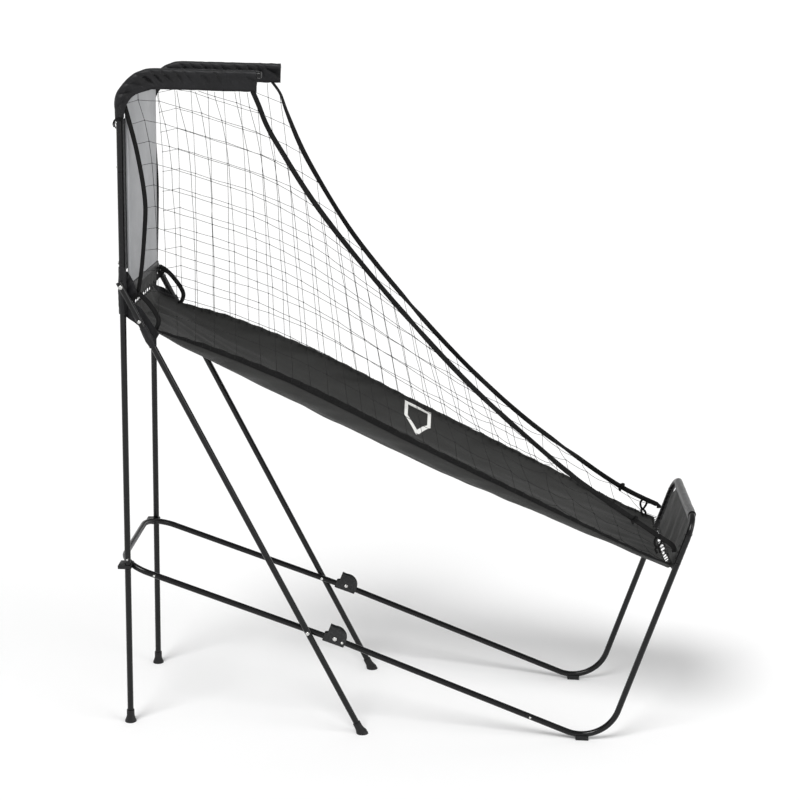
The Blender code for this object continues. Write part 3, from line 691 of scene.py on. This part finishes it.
# ---------------------------------------------------------------- arm sleeves
def top_sleeve(side, sign):
    """Nylon sleeve drawn over the arm, its two layers sewn together below the tube into a flap."""
    y = sign * POST_Y
    line = even_line(arm_line(y, SLEEVE_END[side], SLEEVE_START), 160, smooth=False)
    total = sum((b - a).length for a, b in zip(line, line[1:]))
    bend, crease_pitch = 0.14, 0.036
    snug_r, hip_angle, straight_part = 0.0119, math.radians(-20.0), 0.60

    def frame_at(s):
        k = s * (len(line) - 1)
        i = min(int(k), len(line) - 2)
        ahead = (line[i + 1] - line[max(i - 1, 0)]).normalized()
        return line[i].lerp(line[i + 1], k - i), Vector((-ahead.z, 0.0, ahead.x))

    def surface(s, t):
        spot, out = frame_at(s)
        run = s * total
        layer = -1.0 if t < 0.5 else 1.0
        up = 1.0 - abs(2.0 * t - 1.0)
        flap = 0.0145 + (FLAP_DROP - 0.0145) * smoothstep(0.0, 0.16, run)
        radius = snug_r + 0.0045 * bump(0.055, 0.030, run) + 0.0015 * bump(0.13, 0.05, run)
        if up < straight_part:
            part = up / straight_part
            hip_n, hip_w = radius * math.sin(hip_angle), radius * math.cos(hip_angle)
            n = -flap + (flap + hip_n) * part
            w = 0.0008 + (hip_w - 0.0008) * part ** 2.6 if up > 0.0 else 0.0
        else:
            round_part = (up - straight_part) / (1.0 - straight_part)
            turn = hip_angle + (math.pi / 2.0 - hip_angle) * round_part
            n, w = radius * math.sin(turn), radius * math.cos(turn)
        depth = max(0.0, (radius - n) / (flap + radius))
        slant = run + 0.85 * n + 0.012 * wobble(run, n, 2.0 * sign, 0.06)
        sharp = abs(math.sin(math.pi * slant / crease_pitch + 1.6 * wobble(run, 0.0, 4.0, 0.07)))
        strong = (0.85 + 0.50 * bump(bend, 0.12, run)) * (0.8 + 0.5 * wobble(run, n, sign, 0.05))
        crease = (1.0 - sharp) ** 1.6 * strong * math.sin(math.pi * min(depth * 1.15, 1.0))
        swing = 0.0095 * crease + 0.0012 * wobble(run, n, 1.0, 0.03)
        w = layer * (w + 0.35 * abs(swing)) + swing
        n += 0.0016 * wobble(run, 0.0, 9.0, 0.045) * depth + 0.0009 * wobble(run, layer * w, 5.0, 0.016)
        return spot + out * n + Vector((0.0, w, 0.0))

    obj = sheet_grid(f"top_sleeve_{side}_nylon", 260, 72, surface, NYLON, 0.0007, (total, 0.15), wrap=True,
                     smooth_angle=80.0)
    place(obj, STAND, "cloth", f"top_sleeve_{side}")

    stitches = []
    for k in range(56):
        s = 0.28 + 0.70 * k / 55.0
        spot, out = frame_at(s)
        for layer in (-1.0, 1.0):
            mid = spot - out * (FLAP_DROP - 0.0045) + Vector((0.0, layer * 0.0022, 0.0))
            stitches.append([mid - Vector((0.0016, 0, 0)), mid + Vector((0.0016, 0, 0))])
    place(round_bar(f"sleeve_stitches_{side}", stitches, 0.0005, WEBBING, 1), STAND, "webbing")

    rings = []
    for k in range(3):
        z = 1.9005 + 0.0033 * k
        rings.append([at(0.0112 * math.cos(a), y + 0.0112 * math.sin(a), z + 0.0008 * math.sin(2 * a + k))
                      for a in (math.tau * n / 28 for n in range(29))])
    tails = [even_line([at(-0.011, y, 1.903), at(-0.016, y + 0.003, 1.899), at(-0.019, y + 0.002, 1.889),
                        at(-0.016, y, 1.880)], 16),
             even_line([at(-0.011, y, 1.901), at(-0.014, y - 0.004, 1.893), at(-0.013, y - 0.003, 1.884),
                        at(-0.010, y - 0.002, 1.877)], 16)]
    place(round_bar(f"sleeve_tie_{side}", rings + tails, 0.0017, WEBBING, 2), STAND, "webbing")
    tube_screw(f"sleeve_screw_{side}", at(-TUBE_R, y, 1.892), (-1, 0, 0), STAND, 0.0046)


# ---------------------------------------------------------------- trough and its print
def trough_line(x):
    """Edge height and depth of the trough at a plan x."""
    return curve_at(TROUGH_LINE, x)


def trough_spot(x, v):
    """A point of the trough cloth; v runs from -1 at the right edge to 1 at the left."""
    edge, depth = trough_line(x)
    a = math.pi / 2.0 * v
    wall = abs(math.sin(a))
    half = TROUGH_HALF + 0.010 * smoothstep(0.04, 0.25, x)
    low = 1.0 - abs(v)
    y = half * math.copysign(wall ** WALL_POWER, v)
    z = edge - depth * math.cos(a) ** FLOOR_POWER
    z += 0.0012 * math.sin(math.tau * x / 0.057) * smoothstep(0.90, 1.0, abs(v))
    ends = bump(0.10, 0.14, x) + bump(1.60, 0.24, x)
    z += (0.0040 + 0.0030 * ends) * wobble(x * 0.13, y, 2.0, 0.030) * smoothstep(0.04, 0.4, low)
    z += 0.0030 * wobble(x * 0.45 + y * 0.3, y, 6.0, 0.045) * smoothstep(0.04, 0.4, low)
    y += 0.0085 * wobble(x * 0.20 + 0.12 * z, z * 1.5, 7.0, 0.055) * smoothstep(0.0, 0.2, low) \
        * (1.0 - smoothstep(0.55, 1.0, low))
    return at(x, y, z)


def trough():
    reach = TROUGH_END - TROUGH_START

    def surface(s, t):
        return trough_spot(TROUGH_START + reach * s, 2.0 * t - 1.0)

    obj = sheet_grid("trough_cloth", 300, 84, surface, CLOTH, 0.0012, (1.83, 0.58), smooth_angle=70.0)
    across_fold(obj, "cloth", "trough")

    for side, sign in SIDES:
        def hem(s, t, sign=sign):
            spot = trough_spot(TROUGH_START + reach * s, sign * (1.0 - 0.085 * t))
            return spot + Vector((0.0, sign * (0.0016 + 0.0006 * math.sin(math.pi * t)), 0.0010 * (1.0 - t)))

        band = sheet_grid(f"trough_hem_{side}", 300, 5, hem, WEBBING, 0.0010, (1.83, 0.025))
        across_fold(band, "webbing")


def plate_print():
    """Plain home plate outline printed inside the left wall of the trough."""
    outline = [(-0.5, 0.5), (0.5, 0.5), (0.5, -0.1), (0.0, -0.5), (-0.5, -0.1), (-0.5, 0.5)]
    width, height, line = 0.088, 0.074, 0.26

    def surface(s, t):
        side = min(int(s * 5.0), 4)
        along = s * 5.0 - side
        u = outline[side][0] * (1.0 - along) + outline[side + 1][0] * along
        w = outline[side][1] * (1.0 - along) + outline[side + 1][1] * along
        u, w = u * (1.0 - line * t), 0.05 + (w - 0.05) * (1.0 - line * t)
        x = 0.880 + u * width
        depth = trough_line(x)[1]
        drop = (0.052 - w * height) / depth
        v = math.acos(min(drop, 0.99) ** (1.0 / FLOOR_POWER)) * 2.0 / math.pi
        return trough_spot(x, v) + Vector((0.0, -0.0012, 0.0))

    obj = sheet_grid("plate_print", 100, 4, surface, INK, 0.0003, (0.35, 0.02), wrap=True)
    across_fold(obj, "cloth")


# ---------------------------------------------------------------- nets
def inward(z):
    """How far a net stands from the mid plane: it leaves the sleeve flaps and drops inside the frame."""
    return NET_Y + (POST_Y - NET_Y) * smoothstep(1.80, NET_TOP_Z, z)


def border_z(x, sign):
    """Height of the free border of a net above a plan x."""
    border = NET_BORDER[sign]
    return curve_at(border, x)[0] if x > border[0][0] else FLAP_FOOT_Z


def rear_line(sign):
    """Plan points of the rear border; the left one is drawn back to its post by the board."""
    share = 1.0 if sign < 0 else 0.30
    return [Vector((x * share, z, 0.0)) for x, z in NET_REAR]


def rear_x(sign, z):
    line = [(-p.y, p.x) for p in rear_line(sign)]
    return curve_at(line, -z)[0]


def net_knots(sign):
    """Where the twine of one net crosses. Rows follow the trough and close up towards the hoop;
    columns hang from the sleeve and lean more and more towards the hoop."""
    near = sign < 0
    first, wide, close, pull = (0.055, CELL_WIDE, 0.034, 0.050) if near else (0.075, 0.052, 0.037, 0.022)
    closest = 0.024
    knots = {}
    for i in range(-1, 36):
        top = first + wide * min(i, 5) + close * min(max(i - 5, 0), 5) + closest * max(i - 10, 0)
        lean = 0.90 * max(top - 0.20, 0.0) ** 1.6
        for j in range(0, 18):
            x = top
            for _ in range(6):
                level = curve_at(TROUGH_LINE, x)[0] if x > 0.35 else 1.203 + 0.28 * (0.35 - x)
                tight = 1.0 - 0.30 * smoothstep(0.40, 1.25, x)
                z = level + 0.008 + CELL_HIGH * tight * (j - 0.15)
                drop = max(NET_TOP_Z - z, 0.0)
                x = top + pull * (1.0 - math.exp(-drop / 0.16)) + lean * drop
            z -= 0.55 * max(0.088 - x, 0.0)
            loose = 0.003 + 0.013 * smoothstep(0.75, 1.35, x)
            knots[i, j] = (x + loose * wobble(i * 1.7, j * 1.3, 4.0 + sign),
                           z + loose * wobble(i * 1.3, j * 1.9, 8.0 - sign))
    return knots


def inside(x, z, sign):
    edge = trough_line(x)[0]
    return edge - 0.002 <= z <= border_z(x, sign) and rear_x(sign, z) <= x <= 1.69


def clip(a, b, sign):
    """The part of a twine between two knots that lies inside the net's borders, or None."""
    steps = 24
    keep = [k for k in range(steps + 1)
            if inside(a[0] + (b[0] - a[0]) * k / steps, a[1] + (b[1] - a[1]) * k / steps, sign)]
    if len(keep) < 3:
        return None
    return keep[0] / steps, keep[-1] / steps


def net_twines(sign):
    """Lines of twine, sagging a little more towards the hoop, and the places of the knots."""
    knots = net_knots(sign)
    lines, places = [], []
    for (i, j), a in knots.items():
        if inside(*a, sign):
            places.append(a)
        for other in ((i + 1, j), (i, j + 1)):
            b = knots.get(other)
            if b is None:
                continue
            span = clip(a, b, sign)
            if span is None:
                continue
            slack = 0.0008 + 0.007 * smoothstep(0.85, 1.4, a[0])
            line = []
            for k in range(5):
                t = span[0] + (span[1] - span[0]) * k / 4
                bow = slack * math.sin(math.pi * t) * (1.0 if (i + j) % 2 else 0.4)
                x, z = a[0] + (b[0] - a[0]) * t, a[1] + (b[1] - a[1]) * t - bow
                y = inward(z) + 0.004 * wobble(x, z, sign, 0.20)
                line.append(at(x, sign * y, z))
            lines.append(line)
    return lines, places


def side_net(side, sign):
    lines, places = net_twines(sign)
    twine = round_bar(f"side_net_{side}_twine", lines, TWINE_R, TWINE, sides=1)
    across_fold(twine, "net", f"side_net_{side}")
    bm = bmesh.new()
    for x, z in places:
        y = inward(z) + 0.004 * wobble(x, z, sign, 0.20)
        spot = Matrix.Translation(at(x, sign * y, z)) @ Matrix.Diagonal((1.3, 0.9, 1.0, 1.0))
        bmesh.ops.create_icosphere(bm, subdivisions=1, radius=KNOT_R, matrix=spot)
    across_fold(finish_mesh(f"side_net_{side}_knots", bm, TWINE, 80.0), "net")


def strap(name, line, width, twist, thickness=0.0018, segments=200):
    """Flat strap along a line; twist(s) is its turn about its own run, in radians from the side plane."""
    points = even_line(line, segments + 1)
    total = sum((b - a).length for a, b in zip(points, points[1:]))

    def surface(s, t):
        k = s * segments
        i = min(int(k), segments - 1)
        spot = points[i].lerp(points[i + 1], k - i)
        ahead = (points[i + 1] - points[i]).normalized()
        flat = Vector((-ahead.z, 0.0, ahead.x)).normalized()
        turn = twist(s)
        side = flat * math.cos(turn) + Vector((0.0, 1.0, 0.0)) * math.sin(turn)
        cup = 0.0010 * math.sin(math.pi * t)
        return spot + side * width * (t - 0.5) + ahead.cross(side) * cup

    return sheet_grid(name, segments, 5, surface, WEBBING, thickness, (total, width)), total


def net_straps(side, sign):
    border = even_line([Vector((x, z, 0.0)) for x, z in ((0.390, 1.994),) + NET_BORDER[sign]], 40)
    front = [at(p.x, sign * inward(p.y), p.y) for p in border] + [at(1.692, sign * 0.2185, 0.630)]

    def flutter(s):
        return 0.9 * bump(0.0, 0.10, s) + 0.35 * math.sin(17.0 * s + sign) + 0.75 * bump(0.44, 0.025, s) \
            + 0.7 * bump(0.62, 0.03, s) + 0.8 * bump(0.80, 0.025, s) + 0.5 * smoothstep(0.86, 0.94, s)

    band, total = strap(f"net_border_{side}_strap", front, BORDER_WIDE, flutter)
    across_fold(band, "webbing", f"net_border_{side}")

    rear = [at(p.x, sign * (inward(p.y) - 0.002), p.y) for p in rear_line(sign)]
    band, total = strap(f"net_rear_strap_{side}", rear, REAR_BORDER_WIDE, lambda s: 0.35 * math.sin(5.0 * s),
                        0.0016, 120)
    place(band, STAND, "webbing")

    centre = at(1.560, sign * 0.2190, border_z(1.560, sign))
    knot = [centre + Vector((0.009 * math.sin(a) + 0.004 * math.sin(2 * a), 0.006 * math.sin(3 * a),
                             0.009 * math.cos(a) - 0.004 * math.cos(2 * a)))
            for a in (math.tau * k / 36 for k in range(37))]
    across_fold(round_bar(f"border_knot_{side}", [knot], 0.0042, WEBBING, 3, False), "webbing")
    start = at(1.640, sign * 0.2190, border_z(1.640, sign))
    tails = []
    for steps in (((0.0, 0.0, 0.0), (-0.010, -0.0010, -0.015), (-0.006, -0.0025, -0.033),
                   (0.006, -0.0040, -0.043),
                   (0.010, -0.0040, -0.055)),
                  ((0.002, 0.0005, 0.0), (0.011, 0.0, -0.015), (0.003, -0.0005, -0.033),
                   (-0.006, -0.0020, -0.043),
                   (0.0, -0.0030, -0.057))):
        tails.append(even_line([start + Vector((x, sign * y, z)) for x, y, z in steps], 24))
    across_fold(round_bar(f"border_tie_{side}", tails, 0.0036, WEBBING, 3), "webbing")


# ---------------------------------------------------------------- corner straps, wraps and curtain
def flat_cloth(name, outer, inner, y, length, wide):
    """Cloth stretched flat between two lines of plan points, with fine pulls across it."""
    def surface(s, t):
        a, b = (spline_point([(x, z, 0.0) for x, z in edge], s) for edge in (outer, inner))
        spot = a.lerp(b, t)
        pull = 0.0012 * wobble(spot.x, spot.y, y, 0.018) + 0.0005 * math.sin(30.0 * s + 9.0 * t)
        return at(spot.x, y + pull, spot.y)

    cloth = sheet_grid(name, 70, 30, surface, NYLON, 0.0009, (length, wide))
    return cloth


def cuff_round(name, centre, along, length, radius, outward, limit, seed):
    """Cloth wound round a tube; it can't swell past the limit on the side where a neighbour lies."""
    along = along.normalized()
    side = Vector((0.0, 1.0, 0.0))
    third = along.cross(side).normalized()

    def surface(s, t):
        turn = t * math.tau
        r = radius + 0.0011 * wobble(turn * 0.02, s * length, seed, 0.014) + 0.0020 * bump(0.35, 0.25, s) \
            + 0.0006 * math.sin(5.0 * turn + 9.0 * s)
        if outward * math.cos(turn) > 0.3:
            r = min(r, limit)
        return centre + along * length * s + side * r * math.cos(turn) + third * r * math.sin(turn)

    band = sheet_grid(name, 40, 44, surface, NYLON, 0.0007, (length, 0.08), wrap=True)
    return place(band, STAND, "cloth")


def corner_cloth(side, sign):
    """Bowed strap, cloth wrapped round post and strut, and the gusset between them."""
    y = sign * 0.2165
    arc = [at(x, y, z) for x,
           z in ((0.026, 1.396), (0.044, 1.386), (0.066, 1.366), (0.090, 1.335), (0.103, 1.308),
                                    (0.099, 1.286), (0.088, 1.272))]
    band, total = strap(f"corner_strap_{side}_webbing", arc, 0.014, lambda s: 0.35 + 0.4 * s, 0.0030, 60)
    place(band, STAND, "webbing", f"corner_strap_{side}")

    # the cloth at the left corner is drawn in more tightly
    drop = 0.0 if sign < 0 else 0.024
    gusset = flat_cloth(f"corner_wrap_{side}_cloth",
                        [(-0.010, 1.326), (0.010, 1.312), (0.035, 1.295), (0.060, 1.274), (0.092, 1.240)],
                        [(-0.010, 1.350), (0.014, 1.357 - drop), (0.044, 1.350 - drop * 1.2),
                         (0.072, 1.316 - drop),
                         (0.106, 1.264)],
                        sign * 0.2228, 0.145, 0.040 - drop * 0.6)
    place(gusset, STAND, "cloth", f"corner_wrap_{side}")
    flap = flat_cloth(f"corner_flap_{side}",
                      [(-0.006, 1.455), (-0.006, 1.425), (-0.006, 1.385), (-0.006, 1.345)],
                      [(0.014, 1.452), (0.030 - drop / 2, 1.424), (0.040 - drop, 1.388),
                       (0.030 - drop / 2, 1.352)],
                      sign * 0.2225, 0.11, 0.038 - drop * 0.6)
    place(flap, STAND, "cloth")
    tie = [at(-0.006, sign * 0.2245, 1.338)]
    tie += [at(x, sign * 0.2240, z) for x, z in ((0.010, 1.352), (0.026, 1.368), (0.040, 1.384))]
    band, total = strap(f"corner_tie_{side}", tie, 0.015, lambda s: 0.25, 0.0016, 40)
    place(band, STAND, "webbing")

    gap_side = STRUT_Y - TUBE_R - POST_Y
    cuff_round(f"post_cuff_{side}", at(0.0, sign * POST_Y, 1.326), Vector((0, 0, 1)), 0.142, 0.0113, sign,
               gap_side, sign)
    along = Vector((-STRUT_FOOT_X, 0.0, STRUT_TOP_Z))
    foot_x, screw_x = 0.094, 0.054
    cuff_round(f"strut_cuff_{side}", at(foot_x, sign * STRUT_Y, strut_z(foot_x)), along, 0.066, 0.0110, -sign,
               0.0100, 3.0 + sign)
    tube_screw(f"strut_screw_{side}", at(screw_x, sign * (STRUT_Y + TUBE_R), strut_z(screw_x)), (0, sign, 0),
               STAND, 0.0052)


def curtain():
    """Skirt of cloth below the board's rail, and the rear wall of the trough laced to it."""
    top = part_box("rear_curtain")[1].z
    half = size("rear_curtain").y / 2.0
    seam = 1.349

    def skirt(s, t):
        v = 2.0 * s - 1.0
        low = seam + 0.0022 * math.cos(13.0 * math.pi * v)
        z = low + (top - low) * t
        return at(0.0158 + 0.0020 * math.sin(21.0 * v) * (1.0 - t), half * v, z)

    cloth = sheet_grid("rear_skirt_cloth", 120, 16, skirt, CLOTH, 0.0010, (0.41, 0.046))
    place(cloth, STAND, "cloth", "rear_curtain")

    def wall(s, t):
        v = 2.0 * s - 1.0
        foot = trough_spot(0.026, v * 0.99)
        z = seam - 0.007 - 0.0022 * math.cos(13.0 * math.pi * v) - 0.026 * smoothstep(0.70, 1.0, abs(v))
        head = at(0.0165, half * v, z)
        spot = foot.lerp(head, t)
        return spot + Vector((0.0022 * math.sin(17.0 * v + 2.0) * math.sin(math.pi * t), 0.0, 0.0))

    cloth = sheet_grid("rear_wall_cloth", 120, 24, wall, CLOTH, 0.0010, (0.42, 0.060))
    place(cloth, STAND, "cloth")

    ties = []
    loop = ((0.0150, 0.0, -0.014), (0.0120, 0.004, -0.003), (0.0150, 0.008, 0.009), (0.0190, 0.004, -0.003),
            (0.0190, 0.0, -0.014))
    for k in range(13):
        start = half * (-0.90 + 1.80 * k / 12.0)
        ties.append(even_line([at(x, start + y, seam + z) for x, y, z in loop], 14))
    place(round_bar("rear_lace", ties, 0.0014, TWINE, 2), STAND, "net")


# ---------------------------------------------------------------- front panel and lacing
HOOP_OUT = Vector((1.0, 0.0, -HOOP_LEAN)).normalized()
HOOP_UP = Vector((HOOP_LEAN, 0.0, 1.0)).normalized()


def hoop_spot(z, y, lift=0.0):
    """A point in the leaning plane of the hoop, lifted towards the pitcher."""
    return at(hoop_x(z), y, z) + HOOP_OUT * lift


def front_panel():
    half = BASE_Y - HOOP_BEND
    top = HOOP_TOP_Z

    def sleeve(s, t):
        turn = t * math.tau
        y = (2.0 * s - 1.0) * (half + 0.006)
        radius = 0.0117 + 0.0009 * wobble(y, turn * 0.012, 1.0, 0.018)
        below = max(-math.sin(turn), 0.0)
        out = radius * math.cos(turn) * (1.0 - 0.5 * below ** 4)
        up = radius * math.sin(turn) - 0.012 * below ** 3
        return at(hoop_x(top), y, top) + HOOP_OUT * out + HOOP_UP * up

    roll = sheet_grid("hoop_sleeve_canvas", 110, 48, sleeve, CANVAS, 0.0009, (0.35, 0.085), wrap=True)
    place(roll, FRONT, "cloth", "front_panel")

    low, high = 0.562, top - 0.020
    side = BASE_Y - 0.027

    def panel(s, t):
        z = low + (high - low) * t
        edge = side - 0.010 * math.sin(math.pi * t) - 0.030 * smoothstep(0.75, 1.0, t)
        y = (2.0 * s - 1.0) * edge
        fold = 0.0024 * math.sin(58.0 * y + 1.2 * math.sin(5.0 * t)) * (0.25 + 0.75 * (1.0 - t))
        fold += 0.0028 * wobble(y, z * 0.12, 3.0, 0.035)
        return hoop_spot(z, y, fold)

    cloth = sheet_grid("front_panel_cloth", 130, 60, panel, CLOTH, 0.0012, (0.41, 0.19))
    place(cloth, FRONT, "cloth")


def spiral_lace(name, start, end, shift, wide, deep, turns):
    """Cord wound round two edges: a flattened helix beside the line from start to end."""
    along = (end - start).normalized()
    across = shift.normalized()
    third = along.cross(across).normalized()
    count = turns * 14
    line = []
    for k in range(count + 1):
        a = math.tau * k / 14.0
        centre = start.lerp(end, k / count) + shift
        line.append(centre + across * wide * math.cos(a) + third * deep * math.sin(a))
    return round_bar(name, [line], 0.0011, TWINE, 2)


def laces(side, sign):
    """Lacing of the panel to the hoop, the trough to the panel, and the nets to the trough edge."""
    lace = spiral_lace(f"panel_lace_{side}", hoop_spot(0.585, sign * BASE_Y), hoop_spot(0.700, sign * BASE_Y),
                       Vector((0.0, -sign * 0.0125, 0.0)), 0.0225, 0.0112, 6)
    place(lace, FRONT, "net")

    loops = []
    for k in range(11):
        v = sign * (0.04 + 0.92 * k / 10.0)
        a = trough_spot(1.672, v)
        out = sign * (BASE_Y - 0.030) * abs(math.sin(math.pi / 2.0 * v))
        b = hoop_spot(0.572 + 0.016 * abs(v) ** 3, out)
        centre, rise = (a + b) / 2.0, Vector((0.0, 0.0, 0.006))
        loops.append(even_line([a, centre + rise, b, centre - rise, a], 20))
    across_fold(round_bar(f"trough_front_lace_{side}", loops, 0.0012, TWINE, 1), "net")

    stitches = []
    for k in range(62):
        spot = trough_spot(0.115 + 1.50 * k / 61.0, sign) - Vector((0.0, sign * 0.0010, 0.0045))
        stitches.append([spot + Vector((0.0012 * math.sin(a), 0.0042 * math.cos(a), 0.0075 * math.sin(a)))
                         for a in (math.tau * n / 12 for n in range(13))])
    across_fold(round_bar(f"net_foot_lace_{side}", stitches, 0.0008, TWINE, 1, False), "net")


# ---------------------------------------------------------------- studio
def studio():
    camera_data = bpy.data.cameras.new("camera")
    camera_data.lens, camera_data.sensor_width, camera_data.clip_end = 73.6, 36.0, 1000.0
    camera = bpy.data.objects.new("camera", camera_data)
    bpy.context.scene.collection.objects.link(camera)
    yaw, pitch, roll = math.radians(2.21), math.radians(14.20), math.radians(1.34)
    tilt = Matrix.Rotation(math.pi / 2.0 - pitch, 4, "X") @ Matrix.Rotation(roll, 4, "Z")
    camera.matrix_world = Matrix.Translation(at(1.022, -5.016, 2.298)) @ Matrix.Rotation(yaw, 4, "Z") @ tilt
    bpy.context.scene.camera = camera

    # a floor that curves up far away on every side, so that it fills the view
    bm = bmesh.new()
    count = 48
    turns = [math.tau * k / count for k in range(count)]
    rings = [[bm.verts.new((radius * math.cos(a), radius * math.sin(a), z)) for a in turns]
             for radius, z in ((30.0, 0.0), (100.0, 2.0), (300.0, 20.0), (800.0, 210.0))]
    bm.faces.new(rings[0])
    for inner, outer in zip(rings, rings[1:]):
        for k in range(count):
            after = (k + 1) % count
            bm.faces.new((inner[k], outer[k], outer[after], inner[after]))
    painted = start_material("pale_studio_floor", Roughness=0.9, Specular_IOR_Level=0.0,
                             Base_Color=linear("#fbfbfb"))[0]
    finish_mesh("studio_floor", bm, painted)

    world = bpy.data.worlds.new("soft_white_room")
    bpy.context.scene.world = world
    world.use_nodes = True
    world.node_tree.nodes["Background"].inputs["Color"].default_value = (1.0, 1.0, 1.0, 1.0)
    world.node_tree.nodes["Background"].inputs["Strength"].default_value = 0.46

    for name, spot, strength, spread in (("overhead_key", Vector((-1.4, -2.6, 4.2)), 1.85, 24.0),
                                         ("front_fill", Vector((3.4, -1.6, 1.6)), 1.10, 40.0)):
        light = bpy.data.lights.new(name, "SUN")
        light.energy, light.angle = strength, math.radians(spread)
        lamp = bpy.data.objects.new(name, light)
        bpy.context.scene.collection.objects.link(lamp)
        lamp.matrix_world = Matrix.Translation(spot) @ (-spot).to_track_quat("-Z", "Y").to_matrix().to_4x4()
    bpy.context.scene.view_settings.view_transform = "Standard"


def build():
    studio()
    for side, sign in SIDES:
        frame_tubes(side, sign)
        hardware(side, sign)
        fasteners(side, sign)
    tube("rear_bow", bow_line(), STAND)
    tube("front_hoop", hoop_line(), FRONT)
    refined("target_board", BOARD, "board", STAND, 0.0008)
    refined("board_rail", PLASTIC, "plastic", STAND, 0.0008)
    trough()
    plate_print()
    curtain()
    front_panel()
    for side, sign in SIDES:
        top_sleeve(side, sign)
        side_net(side, sign)
        net_straps(side, sign)
        corner_cloth(side, sign)
        laces(side, sign)


build()
